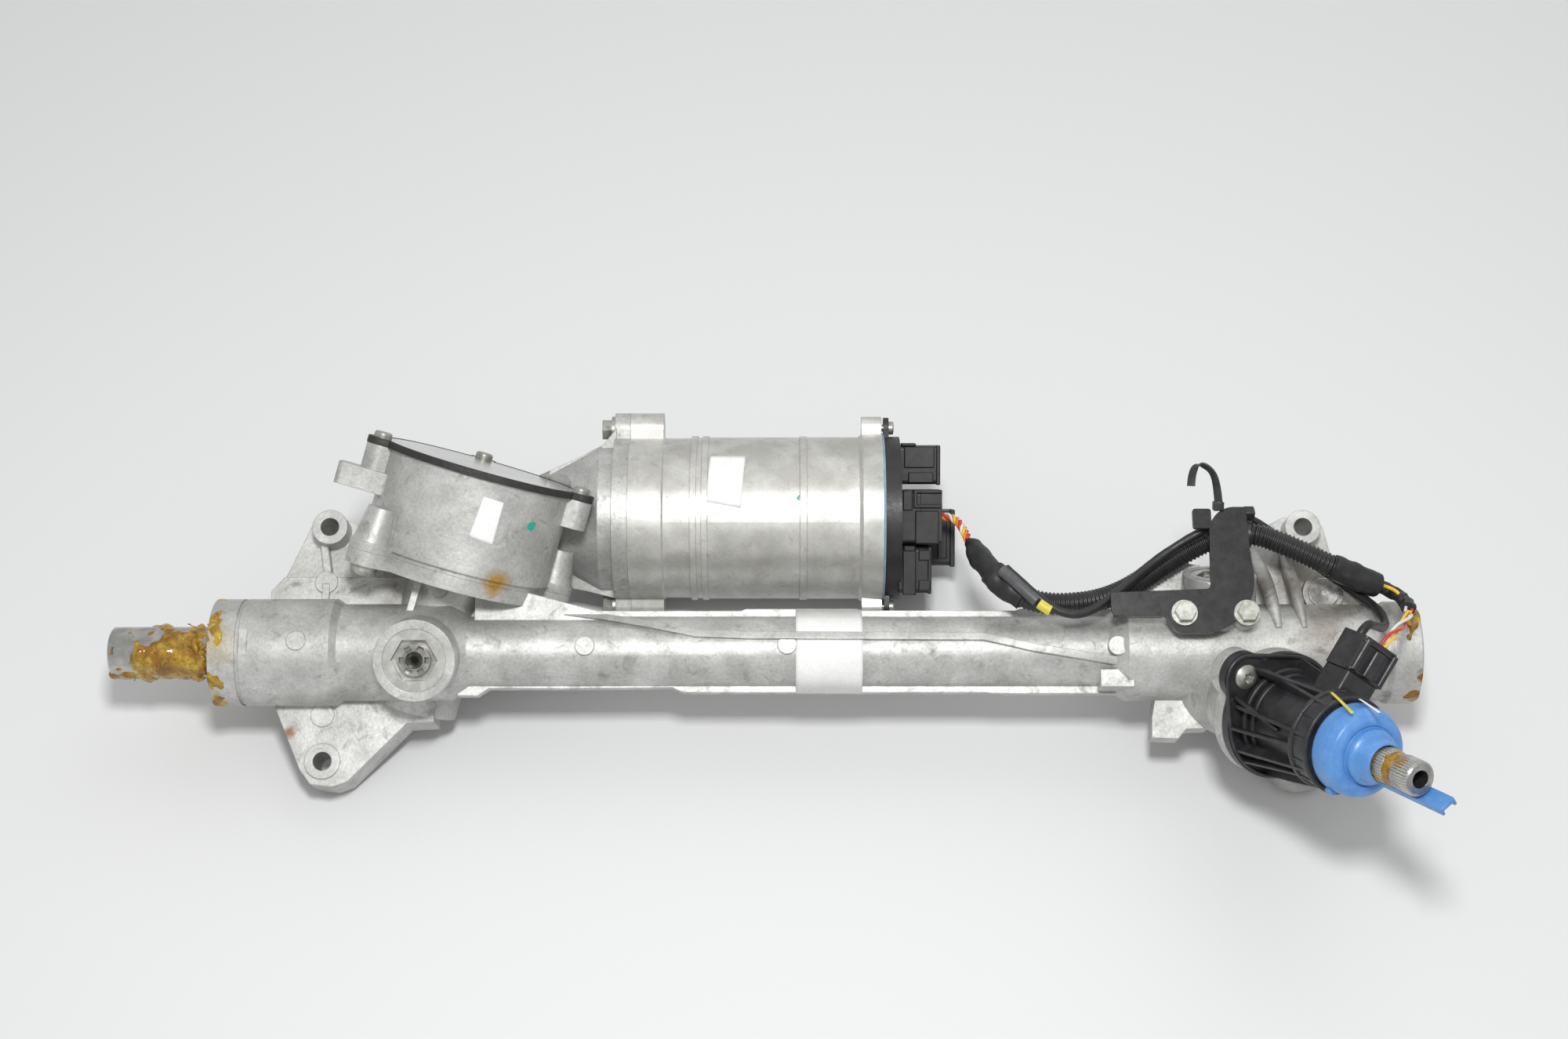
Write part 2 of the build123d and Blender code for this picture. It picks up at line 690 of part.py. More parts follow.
# Worm: a left-hand thread of two starts on a core, with a journal at each end
thread_top = 0.95 * wheel_module
thread_root = worm_pitch_radius - wheel_module - root_gap
thread_low = thread_root - worm_thread_depth - worm_pitch_radius
thread_half = (worm_lead / 8 - wheel_backlash / 4) * assist_cos
thread_slope = math.tan(rad(wheel_pressure))
worm_thread_length = worm_lead * worm_thread_turns
worm_start_x = worm_mid_x - worm_thread_length / 2
with BuildPart() as thread:
    with BuildLine() as thread_path:
        Helix(pitch=worm_lead, height=worm_thread_length, radius=worm_pitch_radius, lefthand=True)
    with BuildSketch(Plane(origin=thread_path.line @ 0, x_dir=(1, 0, 0), z_dir=thread_path.line % 0)):
        Polygon(
            (thread_low, -thread_half + thread_low * thread_slope),
            (thread_top, -thread_half + thread_top * thread_slope),
            (thread_top, thread_half - thread_top * thread_slope),
            (thread_low, thread_half - thread_low * thread_slope), align=None,
        )
    sweep(is_frenet=True)
with BuildPart() as worm:
    bar_along(motor_axis, worm_start_x - 3, worm_start_x + worm_thread_length + 3, thread_root)
    bar_along(motor_axis, worm_mid_x - worm_bearing_offset - worm_bearing_length + 0.5, worm_end_x,
              worm_journal_radius)
    for turned in (0, 180):
        add(thread.part.moved(motor_axis.offset(worm_start_x).location * Location((0, 0, 0), (0, 0, turned))))
save(worm, "worm")


# Gearbox casting: the wheel's drum, the worm's tube and the motor's flange
seal_top = drum_top + cover_seal_thickness
cover_top = seal_top + cover_thickness
with BuildPart() as worm_housing:
    with BuildSketch(assist_axis.offset(joint_face)):
        eared_sketch(joint_radius, joint_bolt_reach, joint_bolt_angles, joint_ear_radius)
    extrude(amount=5)
    bar_along(assist_axis, joint_face + 3, drum_top, drum_radius)
    for angle in joint_bolt_angles:
        with BuildSketch(assist_axis.offset(joint_face)):
            with PolarLocations(joint_bolt_reach, 1, start_angle=angle):
                Circle(joint_ear_radius)
        with BuildSketch(assist_axis.offset(joint_boss_top)):
            with PolarLocations(joint_bolt_reach - 2, 1, start_angle=angle):
                Circle(joint_ear_radius - 3)
        loft()
    with BuildSketch(assist_axis.offset(drum_top - 16)):
        eared_sketch(drum_radius, cover_screw_reach, cover_screw_angles, cover_ear_radius)
    extrude(amount=16)
    with BuildSketch(assist_axis.offset(wheel_mid + 4)):
        with Locations((-58, -21)):
            RectangleRounded(29, 14, 3)
    extrude(amount=12)

    bar_along(motor_axis, worm_tube_start, neck_start_x, worm_tube_radius)
    cone_along(motor_axis, neck_start_x - 14, neck_end_x, worm_tube_radius - 0.4, neck_radius)
    bar_along(motor_axis, neck_end_x, worm_flange_x, neck_radius)
    with BuildSketch(motor_axis.offset(worm_flange_x)):
        eared_sketch(motor_radius, motor_bolt_reach, (90, 270), motor_lug_radius)
    extrude(amount=motor_face_x - worm_flange_x)
    web_plane = Plane(origin=motor_point - yoke_dir * 4, x_dir=rack_dir, z_dir=yoke_dir)
    with BuildSketch(web_plane):
        with BuildLine():
            Polyline((150, 8), (167, 24), (205, 41), (worm_flange_x + 1, 52), (worm_flange_x + 1, -46),
                     (196, -41.5), (176, -38), (150, -26), (150, 8))
        make_face()
    extrude(amount=14)

    bar_along(assist_axis, joint_face + drum_floor, drum_top, drum_bore_radius, Mode.SUBTRACT)
    bar_along(assist_axis, joint_face, drum_top, journal_radius + 2, Mode.SUBTRACT)
    bar_along(motor_axis, worm_mid_x - worm_bearing_offset - worm_bearing_length, neck_start_x + 9,
              worm_bearing_radius, Mode.SUBTRACT)
    cone_along(motor_axis, neck_start_x + 8, neck_end_x + 2, worm_bearing_radius, neck_radius - 7,
               Mode.SUBTRACT)
    bar_along(motor_axis, neck_end_x + 1, motor_face_x, neck_radius - 7, Mode.SUBTRACT)
    bar_along(assist_axis, drum_top, drum_top + 30, cover_radius + 0.6, Mode.SUBTRACT)
    with BuildSketch(motor_axis.offset(neck_start_x)):
        with PolarLocations(motor_bolt_reach, 2, start_angle=90):
            Circle(motor_lug_radius - 0.7)
    extrude(amount=worm_flange_x - neck_start_x, mode=Mode.SUBTRACT)
    for angle in joint_bolt_angles:
        with BuildSketch(assist_axis.offset(joint_face)):
            with PolarLocations(joint_bolt_reach, 1, start_angle=angle):
                Circle(4.1)
        extrude(amount=12.5, mode=Mode.SUBTRACT)
    for angle in cover_screw_angles:
        with BuildSketch(assist_axis.offset(drum_top - 12.5)):
            with PolarLocations(cover_screw_reach, 1, start_angle=angle):
                Circle(2.55)
        extrude(amount=12.5, mode=Mode.SUBTRACT)
    with BuildSketch(motor_axis.offset(worm_flange_x)):
        with PolarLocations(motor_bolt_reach, 2, start_angle=90):
            Circle(4.1)
    extrude(amount=motor_face_x - worm_flange_x, mode=Mode.SUBTRACT)
save(worm_housing, "worm_housing")

with BuildPart() as gear_cover_seal:
    with BuildSketch(assist_axis.offset(drum_top)):
        Circle(drum_radius + 0.9)
        Circle(drum_bore_radius + 0.4, mode=Mode.SUBTRACT)
    extrude(amount=cover_seal_thickness)
save(gear_cover_seal, "gear_cover_seal")

with BuildPart() as gear_cover:
    with BuildSketch(assist_axis.offset(seal_top)):
        eared_sketch(cover_radius, cover_screw_reach, cover_screw_angles, cover_ear_radius)
    extrude(amount=cover_thickness)
    bar_along(assist_axis, seal_top - 3, seal_top, drum_bore_radius - 0.2)
    bar_along(assist_axis, seal_top - 3, seal_top - 0.5, drum_bore_radius - 3, Mode.SUBTRACT)
    for angle in cover_screw_angles:
        with BuildSketch(assist_axis.offset(seal_top)):
            with PolarLocations(cover_screw_reach, 1, start_angle=angle):
                Circle(2.7)
        extrude(amount=cover_thickness, mode=Mode.SUBTRACT)
save(gear_cover, "gear_cover")


def placed_on(plane, reach, angle, height, flip=False):
    # A plane on a bolt circle, facing along or against the plane it stands on
    spot = plane.offset(height).from_local_coords(Vector(*polar(reach, rad(angle)), 0))
    return Plane(origin=spot, x_dir=plane.x_dir, z_dir=plane.z_dir * (-1 if flip else 1))


def bolt_group(label, planes, head_radius, head_height, shank_radius, shank_length, dome=0.0, hexed=0.0):
    # Heads above their planes, shanks below them
    with BuildPart() as group:
        for plane in planes:
            bar_along(plane, 0, head_height, head_radius)
        if dome:
            tops = [plane.origin + plane.z_dir * head_height for plane in planes]
            rims = [edge for edge in group.edges().filter_by(GeomType.CIRCLE)
                    if any((edge.arc_center - top).length < 0.01 for top in tops)]
            fillet(rims, dome)
        for plane in planes:
            if hexed:
                with BuildSketch(plane.offset(head_height)) as hexagon:
                    RegularPolygon(hexed / 2, 6, major_radius=False)
                extrude(hexagon.sketch, amount=hexed / 2)
            bar_along(plane, -shank_length, 0, shank_radius)
    save(group, label)


bolt_group(
    "gear_cover_screws",
    [placed_on(assist_axis, cover_screw_reach, angle, cover_top) for angle in cover_screw_angles],
    head_radius=5.0, head_height=3.6, shank_radius=2.5, shank_length=cover_thickness + 12, dome=1.6,
)
bolt_group(
    "gearbox_bolts",
    [placed_on(assist_axis, joint_bolt_reach, angle, joint_face - joint_plate, flip=True)
     for angle in joint_bolt_angles],
    head_radius=7.4, head_height=6.0, shank_radius=4.0, shank_length=joint_plate + 12, dome=3.0,
)

for label, plane in (("assist_pinion_bearings", assist_axis), ("steering_pinion_bearings", steer_axis)):
    with BuildPart() as bearings:
        ring_along(plane, foot_bearing_start, foot_bearing_start + foot_bearing_length,
                   foot_bearing_radius, foot_journal_radius + run_fit)
        ring_along(plane, head_bearing_start, head_bearing_start + head_bearing_length,
                   head_bearing_radius, journal_radius + run_fit)
    save(bearings, label)

with BuildPart() as worm_bearings:
    for start in (worm_mid_x - worm_bearing_offset - worm_bearing_length, worm_mid_x + worm_bearing_offset):
        ring_along(motor_axis, start, start + worm_bearing_length, worm_bearing_radius,
                   worm_journal_radius + run_fit)
save(worm_bearings, "worm_bearings")

# Rotating group of the motor: shaft, rotor and the coupling to the worm
with BuildPart() as motor_shaft:
    bar_along(motor_axis, worm_end_x + 1, rear_bearing_x + motor_bearing_length + 8, motor_shaft_radius)
save(motor_shaft, "motor_shaft")
with BuildPart() as shaft_coupling:
    bar_along(motor_axis, worm_end_x - 7, worm_end_x + 1, 10)
    bar_along(motor_axis, worm_end_x - 7, worm_end_x + 1, worm_journal_radius, Mode.SUBTRACT)
    ring_along(motor_axis, worm_end_x + 1, worm_end_x + 9, 10, motor_shaft_radius)
save(shaft_coupling, "shaft_coupling")
with BuildPart() as motor_rotor:
    ring_along(motor_axis, rotor_start_x, rotor_end_x, rotor_radius, motor_shaft_radius)
save(motor_rotor, "motor_rotor")

with BuildPart() as stator:
    stator_radius = motor_radius - motor_wall - 0.4
    ring_along(motor_axis, rotor_start_x, rotor_end_x, stator_radius, stator_radius - 5)
    for index in range(12):
        with BuildSketch(motor_axis.offset(rotor_start_x)) as pole:
            with PolarLocations((stator_bore_radius + stator_radius - 4) / 2, 1, start_angle=30 * index):
                Rectangle(stator_radius - 4 - stator_bore_radius, 5)
        extrude(amount=rotor_end_x - rotor_start_x)
    bar_along(motor_axis, rotor_start_x, rotor_end_x, stator_bore_radius, Mode.SUBTRACT)
save(stator, "stator")

with BuildPart() as motor_bearings:
    for start in (front_bearing_x, rear_bearing_x):
        ring_along(motor_axis, start, start + motor_bearing_length, motor_bearing_radius,
                   motor_shaft_radius + run_fit)
save(motor_bearings, "motor_bearings")

with BuildPart() as motor_housing:
    with BuildSketch(motor_side):
        with BuildLine():
            Polyline(
                (motor_face_x, 0), (motor_face_x, motor_radius), (motor_flange_end, motor_radius),
                (motor_flange_end + 1, motor_radius - 0.9), (257, motor_radius - 0.9),
                (257, motor_radius + 0.4), (260.5, motor_radius + 0.4), (260.5, motor_radius - 0.5),
                (263.5, motor_radius - 0.5), (263.5, motor_radius + 0.4), (267, motor_radius + 0.4),
                (267, motor_radius - 0.4), (motor_joint_x, motor_radius - 0.4), (motor_joint_x, 0),
                (motor_face_x, 0),
            )
        make_face()
    revolve(axis=motor_line)
    with BuildSketch(motor_axis.offset(motor_face_x)):
        eared_sketch(motor_radius, motor_bolt_reach, (90, 270), motor_lug_radius)
    extrude(amount=motor_flange_end - motor_face_x)
    bar_along(motor_axis, motor_face_x, motor_joint_x, motor_shaft_radius + 3, Mode.SUBTRACT)
    bar_along(motor_axis, front_bearing_x, motor_joint_x, motor_bearing_radius, Mode.SUBTRACT)
    bar_along(motor_axis, motor_flange_end, motor_joint_x, motor_radius - motor_wall - 0.4, Mode.SUBTRACT)
    with BuildSketch(motor_axis.offset(motor_face_x)):
        with PolarLocations(motor_bolt_reach, 2, start_angle=90):
            Circle(4.1)
    extrude(amount=14, mode=Mode.SUBTRACT)
save(motor_housing, "motor_housing")
bolt_group(
    "motor_bolts",
    [placed_on(motor_axis, motor_bolt_reach, angle, worm_flange_x, flip=True) for angle in (90, 270)],
    head_radius=7.6, head_height=2.0, shank_radius=4.0,
    shank_length=motor_face_x - worm_flange_x + 13, hexed=11.0,
)

with BuildPart() as rear_shield:
    shield_radius = motor_radius - motor_wall - 0.4
    bar_along(motor_axis, rear_bearing_x - 2, rear_bearing_x + motor_bearing_length + 2, shield_radius)
    bar_along(motor_axis, rear_bearing_x - 2, rear_bearing_x + motor_bearing_length + 2,
              motor_shaft_radius + 2, Mode.SUBTRACT)
    bar_along(motor_axis, rear_bearing_x, rear_bearing_x + motor_bearing_length, motor_bearing_radius,
              Mode.SUBTRACT)
    bar_along(motor_axis, rear_bearing_x - 2, rear_bearing_x, motor_bearing_radius, Mode.SUBTRACT)
save(rear_shield, "rear_shield")

cover_angles = (270, 75, 180)
with BuildPart() as control_housing:
    with BuildSketch(motor_side):
        with BuildLine():
            Polyline(
                (motor_joint_x, 0), (motor_joint_x, motor_radius + 0.3),
                (motor_joint_x + 4, motor_radius + 0.3), (motor_joint_x + 4, motor_radius - 0.3),
                (control_flange_x - 2, motor_radius - 0.3), (control_flange_x, control_flange_radius - 1),
                (control_end_x, control_flange_radius), (control_end_x, 0), (motor_joint_x, 0),
            )
        make_face()
    revolve(axis=motor_line)
    with BuildSketch(motor_axis.offset(control_flange_x)):
        eared_sketch(control_flange_radius - 1, motor_bolt_reach + 1, cover_angles, 6.5)
    extrude(amount=control_end_x - control_flange_x)
    bar_along(motor_axis, motor_joint_x, control_end_x, motor_radius - motor_wall - 0.4, Mode.SUBTRACT)
    with BuildSketch(motor_axis.offset(control_end_x - 9)):
        for angle in cover_angles:
            with PolarLocations(motor_bolt_reach + 1, 1, start_angle=angle):
                Circle(2.05)
    extrude(amount=9, mode=Mode.SUBTRACT)
save(control_housing, "control_housing")

with BuildPart() as circuit_board:
    bar_along(motor_axis, board_x, board_x + 1.6, motor_radius - motor_wall - 0.8)
    with BuildSketch(motor_axis.offset(board_x + 1.6)):
        with GridLocations(22, 26, 2, 2):
            Circle(7)
        with Locations((0, 0), (30, 0), (-30, 0)):
            Rectangle(12, 12)
    extrude(amount=9)
save(circuit_board, "circuit_board")

with BuildPart() as control_seal:
    ring_along(motor_axis, control_end_x, control_end_x + control_seal_thickness,
               control_flange_radius - 0.6, motor_radius - motor_wall - 1)
save(control_seal, "control_seal")

# Sockets of the end cover: how far each reaches, and its ends across and towards the lugs
cover_base_x = control_end_x + control_seal_thickness
cover_face_x = cover_base_x + end_cover_thickness
sockets = {
    "power": (399.0, (-12.0, 14.0), (-42.0, -20.0)),
    "signal": (387.0, (7.0, 33.0), (-17.0, 13.0)),
    "vehicle": (393.0, (6.0, 32.0), (15.0, 41.0)),
    "spare": (409.0, (-30.0, -4.0), (-4.0, 28.0)),
}
socket_wall = 2.0
with BuildPart() as end_cover:
    with BuildSketch(motor_axis.offset(cover_base_x)):
        eared_sketch(end_cover_radius, motor_bolt_reach + 1, cover_angles, 6.0)
    extrude(amount=3)
    bar_along(motor_axis, cover_base_x, cover_face_x, end_cover_radius)
    bar_along(motor_axis, cover_base_x, cover_face_x - 2.5, end_cover_radius - 5, Mode.SUBTRACT)
    for far_x, (near, far), (top, bottom) in sockets.values():
        with BuildSketch(motor_axis.offset(cover_face_x - 1)):
            with Locations(((near + far) / 2, (top + bottom) / 2)):
                RectangleRounded(far - near, bottom - top, 2.5)
        extrude(amount=far_x - cover_face_x + 1)
        with BuildSketch(motor_axis.offset(cover_face_x)):
            with Locations(((near + far) / 2, (top + bottom) / 2)):
                RectangleRounded(far - near - 2 * socket_wall, bottom - top - 2 * socket_wall, 1.2)
        extrude(amount=far_x - cover_face_x, mode=Mode.SUBTRACT)
    with BuildSketch(motor_axis.offset(cover_base_x)):
        for angle in cover_angles:
            with PolarLocations(motor_bolt_reach + 1, 1, start_angle=angle):
                Circle(2.2)
    extrude(amount=3, mode=Mode.SUBTRACT)
save(end_cover, "end_cover")
bolt_group(
    "end_cover_screws",
    [placed_on(motor_axis, motor_bolt_reach + 1, angle, cover_base_x + 3) for angle in cover_angles],
    head_radius=3.8, head_height=3.0, shank_radius=2.0, shank_length=11, dome=1.0,
)

signal_far, (signal_near, signal_away), (signal_top, signal_bottom) = sockets["signal"]
signal_mid = ((signal_near + signal_away) / 2, (signal_top + signal_bottom) / 2)
with BuildPart() as signal_plug:
    with BuildSketch(motor_axis.offset(cover_face_x + 1)):
        with Locations(signal_mid):
            RectangleRounded(signal_away - signal_near - 2 * socket_wall - 0.4,
                             signal_bottom - signal_top - 2 * socket_wall - 0.4, 1.2)
    extrude(amount=signal_far - cover_face_x)
    with BuildSketch(motor_axis.offset(signal_far + 0.2)):
        with Locations(signal_mid):
            RectangleRounded(signal_away - signal_near, signal_bottom - signal_top, 2)
    extrude(amount=12)
save(signal_plug, "signal_plug")


# Steering pinion, torsion bar and input shaft
with BuildPart() as steering_pinion:
    bar_along(steer_axis, foot_bearing_start, -pinion_face / 2, foot_journal_radius)
    with BuildSketch(steer_axis.offset(-pinion_face / 2)):
        spur_outline(pinion_teeth, tooth_module, pinion_pressure, pinion_backlash, 90)
    extrude(amount=pinion_face)
    bar_along(steer_axis, pinion_face / 2, shaft_base - 0.3, journal_radius)
    bar_along(steer_axis, torsion_foot, shaft_base, torsion_radius + run_fit, Mode.SUBTRACT)
save(steering_pinion, "steering_pinion")

with BuildPart() as torsion_bar:
    bar_along(steer_axis, torsion_foot + 0.5, torsion_head, torsion_radius)
save(torsion_bar, "torsion_bar")

with BuildPart() as input_shaft:
    with BuildSketch(steer_side):
        with BuildLine():
            Polyline(
                (shaft_base, 0), (shaft_base, shaft_radius), (150, shaft_radius), (151, shaft_radius - 0.5),
                (152, shaft_radius), (158, shaft_radius), (159, shaft_radius - 1.6),
                (164, shaft_radius - 1.6), (165, shaft_radius), (shaft_end - 1, shaft_radius),
                (shaft_end, shaft_radius - 1), (shaft_end, 0), (shaft_base, 0),
            )
        make_face()
    revolve(axis=steer_line)
    bar_along(steer_axis, shaft_base, torsion_head, torsion_radius, Mode.SUBTRACT)
    bar_along(steer_axis, torsion_head, shaft_end, 4.6, Mode.SUBTRACT)
save(input_shaft, "input_shaft")

with BuildPart() as magnet_ring:
    ring_along(steer_axis, 76, 84, 14, shaft_radius)
save(magnet_ring, "magnet_ring")

sensor_base = steering_face + sensor_seal_thickness
sensor_flange_top = sensor_base + sensor_flange_thickness
with BuildPart() as sensor_seal:
    ring_along(steer_axis, steering_face, sensor_base, sensor_flange_radius - 4, head_bearing_radius)
save(sensor_seal, "sensor_seal")

connector_angle = 56.0
connector_height = 95.0
connector_dir = steer_run * math.cos(rad(connector_angle)) + back_dir * math.sin(rad(connector_angle))
connector_axis = Plane(
    origin=steer_axis.origin + steer_dir * connector_height, x_dir=steer_dir, z_dir=connector_dir
)
with BuildPart() as sensor_housing:
    with BuildSketch(steer_axis.offset(sensor_base)):
        eared_sketch(sensor_flange_radius, sensor_screw_reach,
                     (sensor_screw_angle, sensor_screw_angle + 180), sensor_ear_radius)
    extrude(amount=sensor_flange_thickness)
    with BuildSketch(steer_side):
        with BuildLine():
            Polyline(
                (sensor_flange_top - 1, 0), (sensor_flange_top - 1, sensor_neck_radius + 2),
                (sensor_flange_top + 2, sensor_neck_radius + 2), (sensor_flange_top + 2, sensor_neck_radius),
                (sensor_neck_end, sensor_neck_radius), (sensor_neck_end, sensor_body_radius),
                (sensor_rim_base, sensor_body_radius), (sensor_rim_base, sensor_rim_radius),
                (sensor_top - 1, sensor_rim_radius), (sensor_top, sensor_rim_radius - 1), (sensor_top, 0),
                (sensor_flange_top - 1, 0),
            )
        make_face()
    revolve(axis=steer_line)
    for index in range(8):
        angle = sensor_screw_angle + 28 + index * 45
        fin_dir = steer_run * math.cos(rad(angle)) + back_dir * math.sin(rad(angle))
        fin_plane = Plane(origin=steer_axis.origin, x_dir=steer_dir, z_dir=steer_dir.cross(fin_dir))
        with BuildSketch(fin_plane):
            with BuildLine():
                Polyline((sensor_flange_top - 1, 18), (sensor_flange_top - 1, sensor_flange_radius - 1.5),
                         (sensor_flange_top + 1, sensor_flange_radius - 1.5),
                         (sensor_top - 4, sensor_rim_radius), (sensor_top - 4, 18),
                         (sensor_flange_top - 1, 18))
            make_face()
        extrude(amount=0.9, both=True)
    with BuildSketch(connector_axis.offset(18)):
        RectangleRounded(20, 22, 2)
    extrude(amount=16)
    bar_along(steer_axis, sensor_base, sensor_rim_base, sensor_neck_radius - sensor_wall, Mode.SUBTRACT)
    bar_along(steer_axis, sensor_rim_base - 1, sensor_top, shaft_radius + 0.5, Mode.SUBTRACT)
    with BuildSketch(connector_axis.offset(24)):
        RectangleRounded(16, 18, 1.5)
    extrude(amount=10, mode=Mode.SUBTRACT)
    with BuildSketch(steer_axis.offset(sensor_base)):
        with PolarLocations(sensor_screw_reach, 2, start_angle=sensor_screw_angle):
            Circle(2.7)
    extrude(amount=sensor_flange_thickness, mode=Mode.SUBTRACT)
    with BuildSketch(steer_axis.offset(sensor_flange_top)):
        with PolarLocations(sensor_screw_reach, 2, start_angle=sensor_screw_angle):
            Circle(7.6)
    extrude(amount=14, mode=Mode.SUBTRACT)
save(sensor_housing, "sensor_housing")
bolt_group(
    "sensor_screws",
    [placed_on(steer_axis, sensor_screw_reach, angle, sensor_flange_top)
     for angle in (sensor_screw_angle, sensor_screw_angle + 180)],
    head_radius=6.6, head_height=4.0, shank_radius=2.5, shank_length=18, dome=2.6,
)

with BuildPart() as sensor_board:
    ring_along(steer_axis, 86, 87.6, sensor_neck_radius - sensor_wall, shaft_radius + 1.5)
save(sensor_board, "sensor_board")

with BuildPart() as sensor_plug:
    with BuildSketch(connector_axis.offset(25)):
        RectangleRounded(15.4, 17.4, 1.5)
    extrude(amount=10)
    with BuildSketch(connector_axis.offset(34.3)):
        RectangleRounded(20, 24, 2)
    extrude(amount=20)
save(sensor_plug, "sensor_plug")

with BuildPart() as dust_cap:
    with BuildSketch(steer_side):
        with BuildLine():
            Polyline(
                (cap_base, shaft_radius + 0.6), (cap_base, cap_radius), (cap_base + 3, cap_radius),
                (cap_base + 6.5, cap_radius - 2.2), (cap_base + 8.5, cap_radius - 5.5),
                (cap_base + 8.5, 13.6), (cap_base + 10.5, 13.2), (cap_base + 11.5, 12.2),
                (cap_neck_end, 10.4), (cap_neck_end, shaft_radius + 0.6), (cap_base, shaft_radius + 0.6),
            )
        make_face()
    revolve(axis=steer_line)
    # A tongue along the shaft to pull the cap off by, and a nub on the rim
    with BuildSketch(steer_axis.offset(cap_base + 7)):
        with Locations((2, -11.4)):
            Rectangle(10, 1.8)
    extrude(amount=cap_tongue_end - cap_base - 7)
    with BuildSketch(steer_axis.offset(cap_base)):
        with PolarLocations(cap_radius, 1, start_angle=238):
            Rectangle(4, 5)
    extrude(amount=2.2)
save(dust_cap, "dust_cap")


# Bracket over the steering yoke, which carries the harness
with BuildPart() as harness_bracket:
    with BuildSketch(Plane.XY.offset(bracket_top_z - bracket_thickness)):
        with BuildLine():
            FilletPolyline(
                (485.2, 12.2), (514, 12.2), (519.5, 2.8), (566, 2.2), (561, 48), (560, 72.5), (540, 72.5),
                (539, 27), (485.2, 25), radius=(4, 5, 6, 30, 1.2, 1.2, 14, 2.5, 1.2), close=True,
            )
        make_face()
    extrude(amount=bracket_thickness)
    with BuildSketch(Plane.XY.offset(bracket_top_z - bracket_thickness - 4)):
        with Locations((500, 12.2 + bracket_thickness / 2)):
            Rectangle(26, bracket_thickness)
    extrude(amount=4.5)
    with BuildSketch(Plane.XY.offset(bracket_top_z - bracket_thickness)):
        with Locations((536, 66)):
            RectangleRounded(10, 11, 1.5)
    extrude(amount=bracket_thickness)
    with BuildSketch(Plane.XY.offset(bracket_top_z - bracket_thickness)):
        with Locations(*[(bolt_x, bracket_bolt_y) for bolt_x in bracket_bolt_xs]):
            Circle(3.3)
    extrude(amount=bracket_thickness, mode=Mode.SUBTRACT)
save(harness_bracket, "harness_bracket")
bolt_group(
    "bracket_bolts",
    [Plane(origin=(bolt_x, bracket_bolt_y, bracket_top_z), x_dir=(1, 0, 0), z_dir=(0, 0, 1))
     for bolt_x in bracket_bolt_xs],
    head_radius=7.0, head_height=1.8, shank_radius=3.0,
    shank_length=bracket_thickness + bracket_bolt_depth - 1, hexed=10.0,
)


def bend_radii(points):
    # The largest arc that two runs allow at each corner
    radii = []
    for before, corner, after in zip(points, points[1:], points[2:]):
        run_in, run_out = Vector(*corner) - Vector(*before), Vector(*after) - Vector(*corner)
        turn = rad(run_in.get_angle(run_out))
        radii.append(0.45 * min(run_in.length, run_out.length) / math.tan(turn / 2))
    return radii


def tube(label, points, radius, inner=0.0):
    radii = bend_radii(points)
    print(label, "bend radii", [round(bend, 1) for bend in radii])
    with BuildPart() as hose:
        with BuildLine() as route:
            FilletPolyline(*points, radius=radii)
        with BuildSketch(Plane(origin=route.line @ 0, z_dir=route.line % 0)):
            Circle(radius)
        sweep()
    length = sum(edge.length for edge in route.edges())
    print(label, "length", round(length, 1), "volume ratio",
          round(hose.part.volume / (math.pi * radius**2 * length), 4))
    save(hose, label)
    return route


def plane_spot(plane, height, along, across):
    spot = plane.offset(height).from_local_coords(Vector(along, across, 0))
    return (spot.X, spot.Y, spot.Z)


lead_route = [
    plane_spot(motor_axis, signal_far + 12.5, *signal_mid),
    plane_spot(motor_axis, signal_far + 18.5, *signal_mid), (410.5, 75, -12.5), (412.6, 62.9, 1.1),
]
tube("signal_leads", lead_route, lead_radius)
tape_route = [(413, 61.8, 2.2), (417, 53, 10), (423, 42, 17), (430, 33.6, 21.5)]
tube("harness_tape", tape_route, tape_radius)
conduit_route = [
    (430.5, 32.9, 21.8), (434, 28.9, 23.4), (441, 24.5, 25), (452, 21.6, 25.5), (464, 21.4, 25),
    (480, 24, 21.5), (496, 31, 16), (511, 41, 12), (528, 52, 14), (545, 60, 19), (565, 62, 25),
    (586, 52.5, 28), (606, 42.5, 27.5), (622, 36.5, 24), (633, 33, 20),
]
tube("harness_conduit", conduit_route, conduit_radius)
cable_route = [
    (430, 40, 31), (438, 31, 34.8), (448, 21, 36.2), (460, 13.4, 35.6), (472, 14, 34), (486, 23, 31.5),
    (499, 35, 27), (512, 46, 24), (526, 55.5, 25.5), (540, 62.5, 29.5), (552, 70.8, 25),
    (566, 72, 18), (582, 61.5, 15), (598, 48, 15), (612, 38, 13), (624, 29.5, 13), (631, 19.5, 24.5),
    (631, 8, 40), (625, 1, 57), (617, -0.5, 71),
    plane_spot(connector_axis, 61, -3, -6), plane_spot(connector_axis, 54.6, -3, -6),
]
tube("harness_cable", cable_route, cable_radius)
sensor_lead_route = [
    (634.2, 32.6, 19.6), (640, 30.6, 18.6), (644.5, 24, 28), (643, 15, 44), (637, 5, 60), (628, -3, 74),
    plane_spot(connector_axis, 61, 3, 6), plane_spot(connector_axis, 54.6, 3, 6),
]
tube("sensor_leads", sensor_lead_route, lead_radius)

with BuildPart() as side_plug:
    with BuildSketch(Plane.XY.offset(side_plug_z - side_plug_depth)):
        with Locations(side_plug_spot):
            Circle(side_plug_radius - 0.01)
    extrude(amount=side_plug_depth)
save(side_plug, "side_plug")
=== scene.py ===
import math

